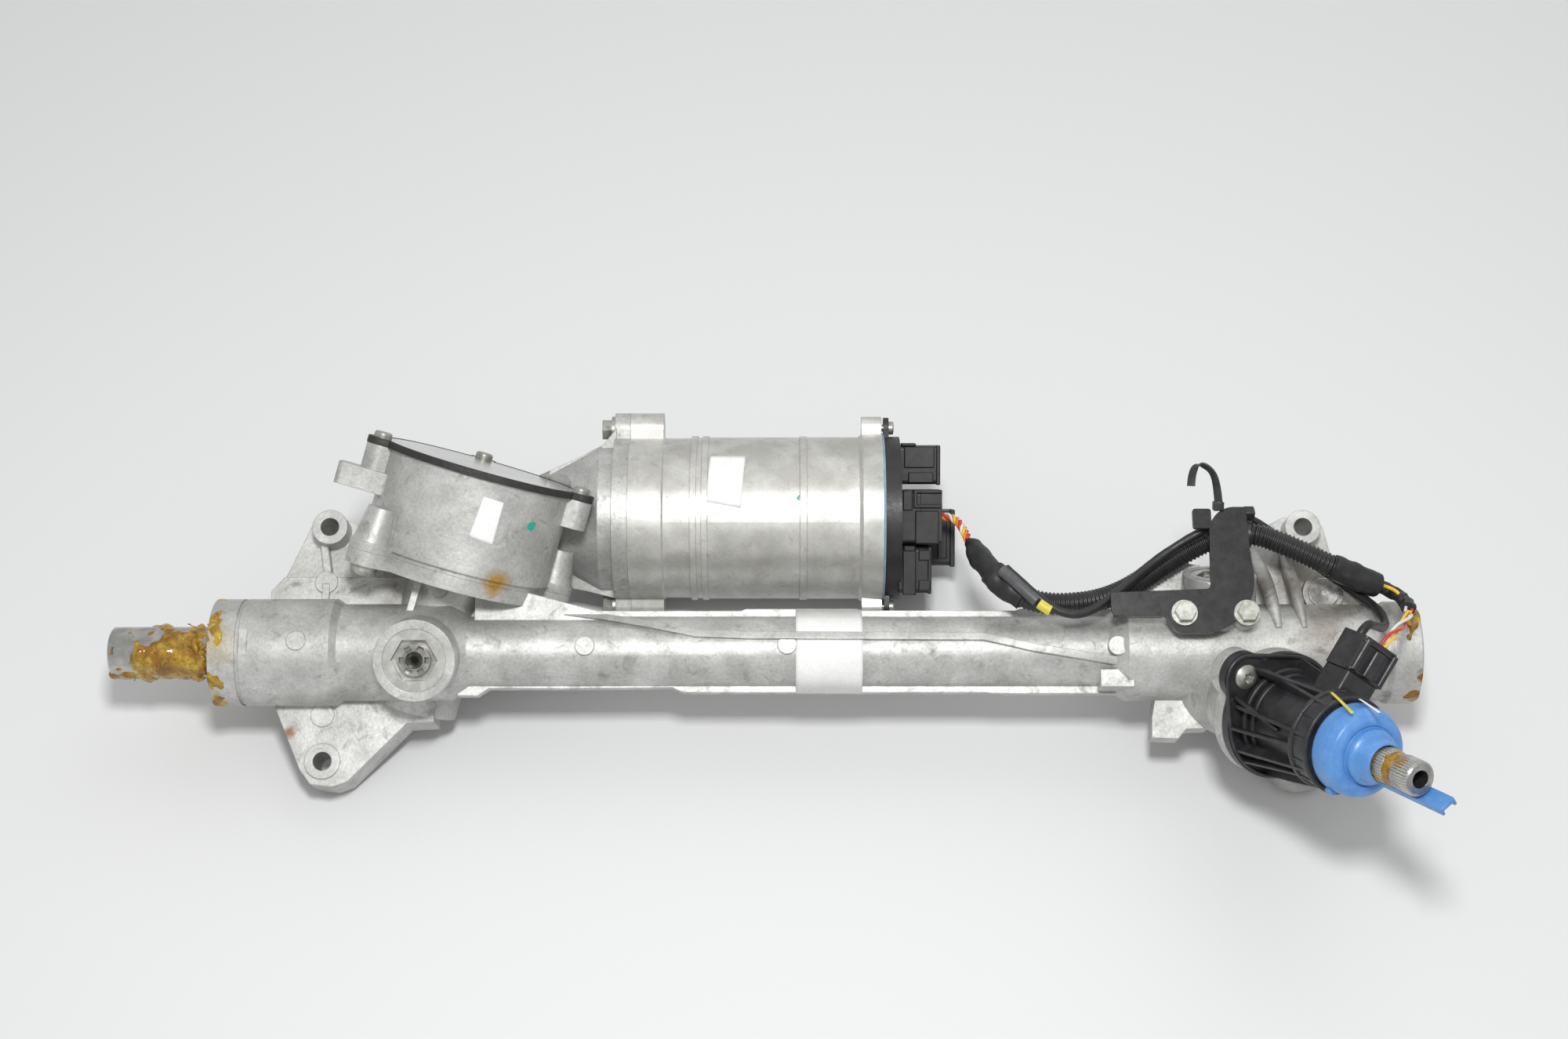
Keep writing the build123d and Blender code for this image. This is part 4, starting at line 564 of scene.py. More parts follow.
# Blue cap over the column's end: a turned cup, with a grooved tongue that stands out past the shaft
capSettings = {
    # (along, radius) of the cup's section, then the (height, inset) levels of what stands on it
    "profile": [(121, 9.1), (121, 22.4), (123, 23.4), (132.8, 23.4), (136.4, 21.6), (138.4, 18.2),
                (138.5, 15.8), (137.8, 15.1), (138.1, 14.5), (141.4, 14.4), (143.0, 12.6), (149.5, 10.7),
                (151.4, 10.4), (151.4, 9.1)],
    "soften": 0.9, "around": 120,
    "tongueAngle": -56, "tongueRadius": 10.4, "tongueSpan": (140.0, 191.5), "tongueHalf": 4.8,
    "tongueCorner": 1.4, "tongueLevels": [(0, 0.3), (0.3, 0), (1.9, 0), (2.2, 0.3)],
    "railShift": 3.9, "railHalf": 0.8, "railInset": 0.2, "railCorner": 0.6,
    "railLevels": [(1.0, 0), (3.9, 0), (4.3, 0.3)],
    "nubAngle": 238, "nubRadius": 22.6, "nubAlong": 125.5, "nubHalf": (2.0, 2.8), "nubCorner": 1.2,
    "nubLevels": [(0, 0), (2.2, 0), (3.0, 0.7)],
}


def capPatches(settings):
    low, high = settings["tongueSpan"]
    half = (high - low) / 2
    place = placeOn("column", settings["tongueAngle"], settings["tongueRadius"], low + half, True)
    origin, out, way, side = place
    tongue = raised(place, oblong(half, settings["tongueHalf"], settings["tongueCorner"]),
                    settings["tongueLevels"])
    railOutline = oblong(half - settings["railInset"], settings["railHalf"], settings["railCorner"])
    rails = [raised((origin + side * shift, out, way, side), railOutline, settings["railLevels"])
             for shift in (-settings["railShift"], settings["railShift"])]
    nub = raised(placeOn("column", settings["nubAngle"], settings["nubRadius"], settings["nubAlong"], True),
                 oblong(*settings["nubHalf"], settings["nubCorner"]), settings["nubLevels"])
    section = soften(np.vstack([settings["profile"], settings["profile"][:1]]), settings["soften"], 6)
    return [turned(axes["column"], section, settings["around"], True), tongue, nub, *rails]


capShell = makePiece("capShell", capPatches(capSettings), "bluePolypropylene", "dust_cap")
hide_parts("dust_cap")

# Splines of the input shaft: two toothed bands over the turned shaft
splineSettings = {"bands": [(152.0, 158.4), (164.8, 177.4)], "teeth": 36, "root": 8.4, "height": 0.6,
                  "inside": 7.9, "fade": 0.8, "perTooth": 6}


def splinePatches(settings):
    # radius = root + height * a cosine wave cut flat at crest and root, faded out at the band's ends
    turn = np.linspace(0, 2 * np.pi, settings["teeth"] * settings["perTooth"], endpoint=False)
    wave = np.clip(0.5 + 0.9 * np.cos(settings["teeth"] * turn), 0, 1)
    share = np.array([0, 0.2, 1, 1, 0.2, 0])[:, None]
    fade, patches = settings["fade"], []
    for low, high in settings["bands"]:
        along = np.array([low, low + 0.1, low + fade, high - fade, high - 0.1, high])[:, None]
        reach = settings["root"] + settings["height"] * share * wave[None, :]
        reach[[0, -1]] = settings["inside"]
        patches.append((onRound("column", np.degrees(turn)[None, :], along, reach), True, True))
    return patches


makePiece("splineTeeth", splinePatches(splineSettings), "turnedSteel", "input_shaft")
print("column end dressed")

# Grease: a coat of uneven thickness over a turned surface, drawn below the metal where it is bare. Depth is
# the coat's measure in mm, fullness how much of the surface it covers, lean how far it gathers on one side.
greaseSettings = {
    "rackGrease": {"place": "rack", "body": "rack", "spacing": 0.55, "around": 150, "seed": 4, "depth": 1.1,
                   "fullness": -0.05, "lean": 0.45, "scale": 4.2,
                   "profile": [(-57.8, 8.6), (-57.9, 13.2), (-57.0, 14.0), (-3.0, 14.0)]},
    "rackGreaseThick": {"place": "rack", "body": "rack", "spacing": 0.6, "around": 120, "seed": 21,
                        "depth": 1.7, "fullness": -0.3, "lean": 0.5, "scale": 3.4,
                        "profile": [(-45.0, 14.0), (-6.0, 14.0)]},
    "mouthGrease": {"place": "rack", "body": "housing", "spacing": 0.6, "around": 150, "seed": 9,
                    "depth": 0.8, "fullness": -0.1, "lean": 0.35, "leanAngle": 175, "scale": 3.4,
                    "profile": [(-0.05, 15.4), (-0.05, 29.2), (0.3, 29.35), (8.0, 29.35)]},
    "farMouthGrease": {"place": "rack", "body": "housing", "spacing": 0.7, "around": 140, "seed": 15,
                       "depth": 0.6, "fullness": -0.55, "scale": 3.0,
                       "profile": [(645.0, 28.05), (653.7, 28.05), (654.05, 27.6), (654.05, 16.0)]},
    "shaftGrease": {"place": "column", "body": "input_shaft", "spacing": 0.4, "around": 90, "seed": 33,
                    "depth": 0.7, "fullness": -0.25, "scale": 2.6,
                    "profile": [(149.0, 8.7), (165.5, 8.7), (172.0, 8.9)]},
}
# what every coat shares: mm over which it fades at its ends, how ragged that is, how far it sinks where bare,
# the depth of its inner wall, and the shares of large and small lumps
coatSettings = {"fade": 2.5, "ragged": 0.35, "sink": 0.5, "bare": -0.4, "wall": -0.6, "large": 0.7,
                "small": 0.35, "waves": 14, "largeFinest": 1.5, "smallFinest": 4.5}


def lumps(points, seed, waves, finest):
    # like ripple, for points in space: a sum of sines with seeded directions and phases
    draws = np.random.default_rng(seed)
    ways = unit(draws.normal(size=(waves, 3))) * draws.uniform(0.6, finest, (waves, 1))
    return np.sin(points @ ways.T + draws.uniform(0, 2 * np.pi, waves)).sum(axis=-1) / math.sqrt(waves / 2)


def greasePatch(settings, coats=coatSettings):
    # skin = profile + normal * depth * (fullness + lumps + lean), faded at both ends and drawn inside the
    # metal where there is none
    corners = np.asarray(settings["profile"], float)
    reach = np.concatenate([[0], np.cumsum(np.linalg.norm(np.diff(corners, axis=0), axis=1))])
    stations = np.linspace(0, reach[-1], int(reach[-1] / settings["spacing"]) + 1)
    along = np.interp(stations, reach, corners[:, 0])[:, None]
    radius = np.interp(stations, reach, corners[:, 1])[:, None]
    slope = unit(np.stack([np.gradient(along[:, 0]), np.gradient(radius[:, 0])], axis=1))
    turn = np.linspace(0, 2 * np.pi, settings["around"], endpoint=False)[None, :]
    lead = np.minimum(stations, reach[-1] - stations)[:, None]
    ragged = coats["ragged"] * ripple(6 * np.cos(turn), 6 * np.sin(turn), settings["seed"] + 1)
    edge = np.clip(lead / coats["fade"] + ragged, 0, 1)
    points = np.stack(np.broadcast_arrays(along, radius * np.cos(turn), radius * np.sin(turn)), axis=-1)
    points = points / settings["scale"]
    large = lumps(points, settings["seed"], coats["waves"], coats["largeFinest"])
    small = lumps(points, settings["seed"] + 2, coats["waves"], coats["smallFinest"])
    lean = settings.get("lean", 0) * np.cos(turn - math.radians(settings.get("leanAngle", 130)))
    coat = settings["depth"] * (settings["fullness"] + coats["large"] * large + coats["small"] * small + lean)
    coat = np.maximum(coat * edge - coats["sink"] * (1 - edge), coats["bare"])
    wall = np.full(coat.shape, coats["wall"])
    sides = [(along - slope[:, 1:] * height, radius + slope[:, :1] * height) for height in (coat, wall)]
    along, radius = (np.vstack([outer, inner[::-1]]) for outer, inner in zip(*sides))
    return onRound(settings["place"], np.degrees(turn), along, radius), True, True


wispSettings = {
    "count": 16, "seed": 77, "thickness": 0.32, "around": 7, "along": (-54, -2), "angles": (-60, 230),
    "step": (1.1, 5.0, 0.2), "foot": 14.0, "rise": (0.1, 0.7, 1.2, 1.5, 1.9), "highest": 17.0,
    "span": (-56, -1), "spacing": 0.5,
}


def greaseWisps(settings):
    # short curled strings of grease that stand off the rack: each a small random walk outwards, with steps
    # along the rack, round it and away from it
    draws = np.random.default_rng(settings["seed"])
    patches = []
    for _ in range(settings["count"]):
        along, angle = draws.uniform(*settings["along"]), draws.uniform(*settings["angles"])
        steps = np.cumsum(draws.normal(scale=settings["step"], size=(5, 3)), axis=0)
        reach = np.minimum(settings["foot"] + np.array(settings["rise"]) + steps[:, 2], settings["highest"])
        points = onRound("rack", angle + steps[:, 1], np.clip(along + steps[:, 0], *settings["span"]), reach)
        line, stations = routeLine(points, settings["spacing"])
        patches.append(hose(line, stations, settings["thickness"], settings["around"]))
    return patches


makePiece("greaseWisps", greaseWisps(wispSettings), "amberGrease", "rack", crease=80)
for name, settings in greaseSettings.items():
    makePiece(name, [greasePatch(settings)], "amberGrease", settings["body"], crease=80)
print("grease laid:", len(greaseSettings))

# Black edge of the drum's cover: a collar that follows the disc and its three screw ears
rimSettings = {"disc": 54.5, "ear": 7.5, "earReach": 57.0, "earAngles": (197, 357, 97), "foot": 102.9,
               "levels": [(0.0, -0.35), (3.4, -0.35), (3.9, 0.0), (3.9, 1.3), (3.5, 1.6), (0.0, 1.6)]}


def earedOutline(settings, count=360):
    # in each direction the further of the disc's edge and the ears' edges
    turn = np.linspace(0, 2 * np.pi, count, endpoint=False)
    reach = np.full(count, settings["disc"])
    for angle in settings["earAngles"]:
        away = turn - math.radians(angle)
        side = settings["earReach"] * np.sin(away)
        inside = settings["ear"] ** 2 - side ** 2
        ear = settings["earReach"] * np.cos(away) + np.sqrt(np.maximum(inside, 0))
        reach = np.where((inside > 0) & (np.cos(away) > 0), np.maximum(reach, ear), reach)
    return np.stack([reach * np.cos(turn), reach * np.sin(turn)], axis=1)


rim = raised(placeAlong("drum", rimSettings["foot"]), earedOutline(rimSettings), rimSettings["levels"], True)
makePiece("coverRim", [rim], "darkRubber", "housing")

# Webs of the right body: rounded ridges that run from the lug plate up onto the barrel
webSettings = {
    "webs": [([(573, 60, -12), (573.5, 50, -2), (574.5, 38, 9), (575.5, 27, 15.5), (576.5, 17, 20.5),
               (577, 8, 24)], 4.2),
             ([(589, 62, -12), (589.5, 50, -4), (590, 38, 7), (590, 27, 15), (590.5, 17, 20.5),
               (591, 8, 24)], 3.6),
             ([(606, 66, -12), (611, 54, -8), (617, 44, -4), (624, 32, 6), (630, 22, 14)], 3.4),
             ([(556, 58, -6), (556, 48, 2), (556.5, 38, 10), (557, 26, 17), (557, 14, 22)], 3.8)],
    "spacing": 1.2, "around": 28, "endShare": 0.55,
}


def swelling(radius, endShare, length):
    # radius * (the share at the ends + the rest * sine of the way along)
    def reach(stations, turn):
        return radius * (endShare + (1 - endShare) * np.sin(np.pi * stations / length))
    return reach


def webPatches(settings):
    # each ridge is a hose whose radius swells in the middle and dies out at its ends
    patches = []
    for points, radius in settings["webs"]:
        line, stations = routeLine(points, settings["spacing"])
        patches.append(hose(line, stations, swelling(radius, settings["endShare"], stations[-1]),
                            settings["around"]))
    return patches


makePiece("castWebs", webPatches(webSettings), "castAluminium", "housing", crease=60)

# Turned face of the round plug beside the mount: a shallow cone with a small dimple
sidePlugSettings = {
    "middle": (608.2, 33.6, 0.5), "around": 80,
    "profile": [(-0.4, 0), (-0.4, 8.3), (0.5, 8.3), (0.75, 8.05), (0.3, 1.5), (-0.1, 1.1), (-0.15, 0)],
}
_, _, rackAcross, rackUp = axes["rack"]
sidePlugPlace = (np.array(sidePlugSettings["middle"]), rackUp, alongRack, rackAcross)
makePiece("sidePlugFace", [turned(sidePlugPlace, sidePlugSettings["profile"], sidePlugSettings["around"])],
          "brightTurned", "housing", crease=25)

# Blank labels: thin sheets just off the metal, given by axis, its radius and (angle, along) corners
labelLift, paperThickness = 0.14, 0.12
labelSettings = {
    "drumLabel": ("drum", 52.5, [(-77.7, 94.0), (-65.1, 93.5), (-64.9, 70.0), (-79.7, 71.3)]),
    "motorLabel": ("motor", 47.0, [(-51.2, 268.3), (-51.2, 288.3), (-9.9, 285.9), (-14.3, 266.2)]),
}


def sheetOn(axisName, radius, corners, steps=14):
    # bilinear blend of the four corners in (angle, along), at one radius
    share = np.linspace(0, 1, steps)
    down, over = share[:, None, None], share[None, :, None]
    one, two, three, four = np.asarray(corners, float)
    blend = (one * (1 - down) * (1 - over) + two * down * (1 - over) + three * down * over
             + four * (1 - down) * over)
    return onRound(axisName, blend[..., 0], blend[..., 1], radius), False, False


for name, (axisName, radius, corners) in labelSettings.items():
    makePiece(name, [sheetOn(axisName, radius + labelLift, corners)], "labelPaper", "housing",
              paperThickness)

wrapSettings = {"span": (316.4, 352.7), "angles": (8.0, 197.0), "tube": 19.9,
                "tips": [(23.4, 3.3), (-23.4, 3.3)], "columns": 20, "rows": 90}


def wrapPatch(settings):
    # a taut wrap: at each angle the largest reach of the tube and of the two parting flanges
    turn = np.radians(np.linspace(*settings["angles"], settings["rows"]))
    out = np.stack([np.cos(turn), np.sin(turn)], axis=1)
    reach = np.full(len(turn), settings["tube"])
    best = out * settings["tube"]
    for tip in np.array(settings["tips"]):
        share = out @ tip
        best = np.where((share > reach)[:, None], tip[None], best)
        reach = np.maximum(reach, share)
    along = np.linspace(*settings["span"], settings["columns"])[None, :]
    return onAxis("rack", best[:, :1], best[:, 1:], along), False, False


makePiece("tubeLabel", [wrapPatch(wrapSettings)], "labelPaper", "housing", paperThickness, crease=50)

# Dots of marker paint: name, axis, angle, radius of the surface, place along it, radius and seed of the dot,
# then the (height, inset) levels of all
dotSettings = [
    ("tealDot", "drum", -42.5, 52.5, 84.1, 2.7, 50),
    ("greenDot", "motor", -16.9, 47.0, 319.2, 1.9, 51),
]
dotLevels = [(-0.5, 0), (0.06, 0), (0.14, 0.25)]


def roundOutline(radius, seed, roughness=0.12, steps=28):
    # a circle whose radius wavers by the roughness
    turn = np.linspace(0, 2 * np.pi, steps, endpoint=False)
    reach = radius * (1 + roughness * ripple(2 * np.cos(turn), 2 * np.sin(turn), seed))
    return np.stack([reach * np.cos(turn), reach * np.sin(turn)], axis=1)


for name, axisName, angle, radius, along, reach, seed in dotSettings:
    dot = raised(placeOn(axisName, angle, radius, along, True), roundOutline(reach, seed), dotLevels)
    makePiece(name, [dot], "tealPaint", "housing")
print("labels and dots on")

# Harness. Control points are the routes' points in drawing mm, and each piece follows the spline over them.
# The first two points of the leads are (along, across, up) on the motor, and the last two of the cable and of
# the sensor leads are (height, along, across) on the sensor plug.
harnessRoutes = {
    "leads": [(399.5, 20, -2), (405.5, 20, -2), (410.5, 75.0, -12.5), (412.6, 62.9, 1.1)],
    "tape": [(413, 61.8, 2.2), (417, 53, 10), (423, 42, 17), (430, 33.6, 21.5)],
    "flag": [(440.0, 25.5, 24.6), (437, 27.6, 24.2), (433, 30, 23), (428, 34, 21.2), (424.0, 40.5, 18.0)],
    "conduit": [(430.5, 32.9, 21.8), (434, 28.9, 23.4), (441, 24.5, 25), (452, 21.6, 25.5), (464, 21.4, 25),
                (480, 24, 21.5), (496, 31, 16), (511, 41, 12), (528, 52, 14), (545, 60, 19), (565, 62, 25),
                (586, 52.5, 28), (606, 42.5, 27.5), (622, 36.5, 24), (633, 33, 20)],
    "cable": [(430, 40, 31), (438, 31, 34.8), (448, 21, 36.2), (460, 13.4, 35.6), (472, 14, 34),
              (486, 23, 31.5), (499, 35, 27), (512, 46, 24), (526, 55.5, 25.5), (540, 62.5, 29.5),
              (552, 70.8, 25), (566, 72, 18), (582, 61.5, 15), (598, 48, 15), (612, 38, 13), (624, 29.5, 13),
              (631, 19.5, 24.5), (631, 8, 40), (625, 1, 57), (617, -0.5, 71), (61, -3, -6), (54.6, -3, -6)],
    "sensor": [(634.2, 32.6, 19.6), (640, 30.6, 18.6), (644.5, 24, 28), (643, 15, 44), (637, 5, 60),
               (628, -3, 74), (61, 3, 6), (54.6, 3, 6)],
    "spare": [(634, 33, 22), (640, 30, 26), (643.5, 24, 30), (646, 14, 29), (648, 7, 24)],
    "sleeve": [(428, 39, 31), (433.5, 33.5, 33), (439.5, 27, 35), (446, 20.5, 36)],
    "mark": [(447, 19.5, 36), (450, 17.2, 36.2), (453, 15.6, 36.2)],
}
# the sensor plug's middle: degrees round the column, then mm along it and out to the plug's face
plugSettings = {"tilt": 56, "along": 95, "top": 44.3}
plugTilt = math.radians(plugSettings["tilt"])
plugOut = columnRun * math.cos(plugTilt) + backWay * math.sin(plugTilt)
plugSide = np.cross(plugOut, columnWay)
plugPlace = (columnPoint + columnWay * plugSettings["along"], plugOut, columnWay, plugSide)


def onPlug(height, along, across):
    origin, out, first, second = plugPlace
    return origin + out * height + first * along + second * across


harnessRoutes["leads"][:2] = [onAxis("motor", across, up, along)
                              for along, across, up in harnessRoutes["leads"][:2]]
for name in ("cable", "sensor"):
    harnessRoutes[name][-2:] = [onPlug(*point) for point in harnessRoutes[name][-2:]]
conduitSettings = {"radius": 6.2, "depth": 0.75, "pitch": 2.35, "perRib": 6, "around": 20, "steepness": 2.2}


def conduitReach(stations, turn, settings=conduitSettings):
    # a rounded square wave along the hose: ribs at full radius, grooves a little lower
    wave = np.tanh(settings["steepness"] * np.sin(2 * np.pi * stations / settings["pitch"])) * 0.5 + 0.5
    return settings["radius"] - settings["depth"] * (1 - wave)


conduitLine, conduitStations = routeLine(harnessRoutes["conduit"],
                                         conduitSettings["pitch"] / conduitSettings["perRib"])
conduitShell = makePiece("conduitShell",
                         [hose(conduitLine, conduitStations, conduitReach, conduitSettings["around"])],
                         "conduitNylon", "housing", crease=60)
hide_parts("harness_conduit")


def wrinkled(radius, depth, seed, lead=0.0, overlap=9, folds=7):
    # tape over wires: overlapping turns, folds along and across, and a start thinner by `lead`
    def reach(stations, turn):
        turns = 0.25 * np.clip(np.sin(2 * np.pi * stations / overlap + turn) * 3, -1, 1)
        begun = 1 - lead * np.exp(-(stations - stations.min()) / folds)
        return begun * radius + depth * (turns + 0.6 * ripple(stations / overlap, 1.5 * np.cos(turn), seed)
                                         + 0.5 * ripple(stations / folds, 1.5 * np.sin(turn), seed + 1))
    return reach


# Three stretches of tape, each as radius, depth of its folds, seed and, for the first, how much thinner it
# starts. The last lies on the conduit's end.
tapeSettings = {"start": (6.3, 0.45, 61, 0.5), "flag": (7.3, 0.4, 64), "end": (6.9, 0.35, 67),
                "endFrom": 0.875, "spacing": 0.7, "startAround": 28, "around": 30}
tapeLine, tapeStations = routeLine(harnessRoutes["tape"], tapeSettings["spacing"])
flagLine, flagStations = routeLine(harnessRoutes["flag"], tapeSettings["spacing"])
bound = slice(int(len(conduitLine) * tapeSettings["endFrom"]), None, 2)  # every second station is enough
harnessTape = makePiece("harnessWrap", [
    hose(tapeLine, tapeStations, wrinkled(*tapeSettings["start"]), tapeSettings["startAround"]),
    hose(flagLine, flagStations, wrinkled(*tapeSettings["flag"]), tapeSettings["around"]),
    hose(conduitLine[bound], conduitStations[bound], wrinkled(*tapeSettings["end"]), tapeSettings["around"]),
], "harnessTape", "housing", crease=60)
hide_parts("harness_tape")

cableSettings = {"radius": 2.4, "waver": 0.08, "pitch": 6, "seed": 71, "spacing": 1.6, "around": 14}


def cableReach(stations, turn, settings=cableSettings):
    # a sleeve whose radius wavers along its length
    waver = ripple(stations / settings["pitch"], 0.0, settings["seed"])
    return settings["radius"] + settings["waver"] * waver


cableLine, cableStations = routeLine(harnessRoutes["cable"], cableSettings["spacing"])
cableShell = makePiece("cableShell", [hose(cableLine, cableStations, cableReach, cableSettings["around"])],
                       "cableSleeve", "housing")
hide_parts("harness_cable")

# Single wires that wind round a bundle's line, each as name, phase and finish
leadSettings = {
    "turns": 2.2, "swing": 1.5, "radius": 0.95, "around": 12, "spacing": 0.8,
    "wires": [("leadRed", 0.0, "redWire"), ("leadOrange", 0.25, "orangeWire"),
              ("leadYellow", 0.5, "yellowWire"), ("leadWhite", 0.75, "whiteWire")],
}
sensorLeadSettings = {
    "turns": 0.8, "swing": 1.7, "radius": 0.85, "around": 12, "spacing": 0.9, "tape": (3.6, 0.5, 81),
    "tapeAround": 24, "tapedShare": 0.42, "overlap": 3,
    "wires": [("sensorWhite", 0.1, "whiteWire"), ("sensorYellow", 0.4, "yellowWire"),
              ("sensorRed", 0.7, "redWire")],
}


def wireBundle(line, stations, settings):
    wires = []
    for name, phase, finish in settings["wires"]:
        wound = strand(line, stations, settings["turns"], settings["swing"], phase)
        wires.append(makePiece(name, [hose(wound, stations, settings["radius"], settings["around"])], finish,
                               "housing"))
    return wires


leads = wireBundle(*routeLine(harnessRoutes["leads"], leadSettings["spacing"]), leadSettings)
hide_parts("signal_leads")
sensorLine, sensorStations = routeLine(harnessRoutes["sensor"], sensorLeadSettings["spacing"])
split = int(len(sensorLine) * sensorLeadSettings["tapedShare"])
sensorWrap = makePiece("sensorWrap", [hose(sensorLine[:split], sensorStations[:split],
                                           wrinkled(*sensorLeadSettings["tape"]),
                                           sensorLeadSettings["tapeAround"])],
                       "harnessTape", "housing", crease=60)
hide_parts("sensor_leads")
bare = split - sensorLeadSettings["overlap"]
wireBundle(sensorLine[bare:], sensorStations[bare:] - sensorStations[bare], sensorLeadSettings)


def flattened(stations, turn, radius=3.6, squeeze=0.3):
    # a sleeve pressed a little flat: radius less a share of the cosine of twice the angle
    return radius - squeeze * np.cos(2 * turn)


# short pieces on the harness: name, route, spacing, radius or its function, sides and finish
shortPieces = [("spareYellow", "spare", 0.9, 1.0, 12, "yellowWire"),
               ("greySleeve", "sleeve", 0.9, flattened, 20, "greySleeve"),
               ("yellowMark", "mark", 0.5, wrinkled(3.0, 0.3, 91), 20, "yellowTape")]
for name, route, spacing, radius, around, finish in shortPieces:
    line, stations = routeLine(harnessRoutes[route], spacing)
    makePiece(name, [hose(line, stations, radius, around)], finish, "housing")

# Cable ties: a loose tail, whose broad side turns from the first direction to the last, two loops round the
# conduit where its X is given, and two heads as middle, first direction, outward direction and half sizes
tieSettings = {
    "tail": {"points": [(545, 73, 40), (544, 82, 44), (541.5, 90.5, 46), (534.8, 95, 46), (530.6, 91, 44),
                        (530.2, 83, 42)],
             "broad": [(1, 0, 0.3), (0.5, 0, 1), (1, 0, 0.4)], "half": (2.2, 0.55)},
    "loopsAt": (563, 545), "loopReach": 6.1, "loopHalf": 2.2, "loopDepth": 1.1,
    "heads": [((563.5, 71.5, 28), (1, 0, 0), (0, 0.6, 0.8), (2.9, 3.1)),
              ((545, 72.5, 38), (1, 0, 0), (0, 0.9, 0.4), (2.9, 2.6))],
    "headSink": 2, "headCorner": 0.8, "headLevels": [(0, 0.5), (0.6, 0), (4.4, 0), (5.0, 0.6)],
}


def band(points, broad, half, spacing=0.9, corner=0.4):
    # a rounded rectangle carried along a line, its broad side blended between the given directions
    line, _ = routeLine(points, spacing)
    heading = unit(np.gradient(line, axis=0))
    share = np.linspace(0, len(broad) - 1, len(line))
    broad = np.asarray(broad, float)
    wide = np.stack([np.interp(share, np.arange(len(broad)), values) for values in broad.T], axis=1)
    wide = unit(wide - heading * np.sum(wide * heading, axis=1, keepdims=True))
    thin = np.cross(heading, wide)
    outline = oblong(*half, corner)
    ring = line[:, None] + wide[:, None] * outline[None, :, :1] + thin[:, None] * outline[None, :, 1:]
    return capped(line, ring)


def looped(place, reach, half, depth, around=40):
    # a band once round the conduit at the station nearest to a place along the rack
    index = int(np.argmin(np.abs(conduitLine[:, 0] - place)))
    heading, first, second = sidesOf(conduitLine)
    turn = np.linspace(0, 2 * np.pi, around, endpoint=False)[:, None]
    out = first[index] * np.cos(turn) + second[index] * np.sin(turn)
    corners = np.array([(-half, 0), (half, 0), (half, depth), (-half, depth)])
    grid = (conduitLine[index] + out[:, None] * (reach + corners[None, :, 1:])
            + heading[index] * corners[None, :, :1])
    return grid, True, True


def tieHead(middle, first, way, half, settings):
    first, way = np.asarray(first, float), unit(way)
    foot = np.asarray(middle, float) - way * settings["headSink"]
    return raised((foot, way, first, np.cross(way, first)), oblong(*half, settings["headCorner"]),
                  settings["headLevels"])


tiePatches = [band(**tieSettings["tail"])]
tiePatches += [looped(place, tieSettings["loopReach"], tieSettings["loopHalf"], tieSettings["loopDepth"])
               for place in tieSettings["loopsAt"]]
tiePatches += [tieHead(*head, tieSettings) for head in tieSettings["heads"]]
makePiece("cableTies", tiePatches, "blackNylon", "housing")
print("harness dressed")

# Black sensor housing: lip round the flange, rings, struts and ribs, all in column sizes. Circles are (reach,
# angle, radius), lip levels (height, inset), rings (low, high, inner, outer), and struts two (angle, along,
# radius) points with a half width and a height.
sensorLook = {
    "flangeTop": 64.0, "flangeCircles": [(0, 0, 34.0), (34.0, 135, 13.0), (34.0, 315, 13.0)],
    "lip": [(-0.6, 0.5), (1.1, 0.6), (1.6, 1.1), (1.6, 2.1), (1.1, 2.7), (-0.6, 2.9)],
    "rings": [(64.4, 68.4, 20.0, 27.0), (69.4, 73.2, 20.0, 25.0), (105.0, 108.6, 22.0, 26.2),
              (117.4, 120.0, 22.0, 25.8)],
    "ringBend": 1.5, "around": 110,
    "struts": [((124, 65.0, 33.0), (105, 106.0, 24.6), 1.0, 2.1),
               ((155, 65.0, 34.0), (172, 93.0, 23.0), 1.0, 1.6),
               ((184, 65.0, 32.0), (181, 106.0, 24.0), 0.9, 1.8),
               ((222, 65.0, 31.0), (222, 106.0, 24.0), 0.9, 1.8)],
    "ribAngles": (140, 168, 195, 222), "ribSpan": (108.0, 118.0), "ribRadius": 24.6, "ribHalf": 0.7,
    "ribHeight": 1.2,
}


def hullOutline(circles, count=160, directions=720):
    # outline round a set of circles: in each direction the circle that reaches furthest, then even spacing
    turn = np.linspace(0, 2 * np.pi, directions, endpoint=False)
    out = np.stack([np.cos(turn), np.sin(turn)], axis=1)
    away, angles, sizes = np.array(circles, float).T
    middles = np.stack([away * np.cos(np.radians(angles)), away * np.sin(np.radians(angles))], axis=1)
    furthest = np.argmax(out @ middles.T + sizes, axis=1)
    edge = middles[furthest] + out * sizes[furthest][:, None]
    edge = np.vstack([edge, edge[:1]])
    reach = np.concatenate([[0], np.cumsum(np.linalg.norm(np.diff(edge, axis=0), axis=1))])
    stations = np.linspace(0, reach[-1], count, endpoint=False)
    return np.stack([np.interp(stations, reach, values) for values in edge.T], axis=1)


def strut(axisName, low, high, half, height, corner=0.6, bevel=0.4, taper=0.5):
    # a bar between two points given as (angle, along, radius), standing off the axis by its height
    start, end = onRound(axisName, *low), onRound(axisName, *high)
    way = unit(end - start)
    out = onRound(axisName, (low[0] + high[0]) / 2, 0, 1) - onRound(axisName, 0, 0, 0)
    out = unit(out - way * (out @ way))
    length = float(np.linalg.norm(end - start))
    return raised((start, way, out, np.cross(way, out)), oblong(height, half, corner),
                  [(0, bevel), (taper, 0), (length - taper, 0), (length, bevel)])


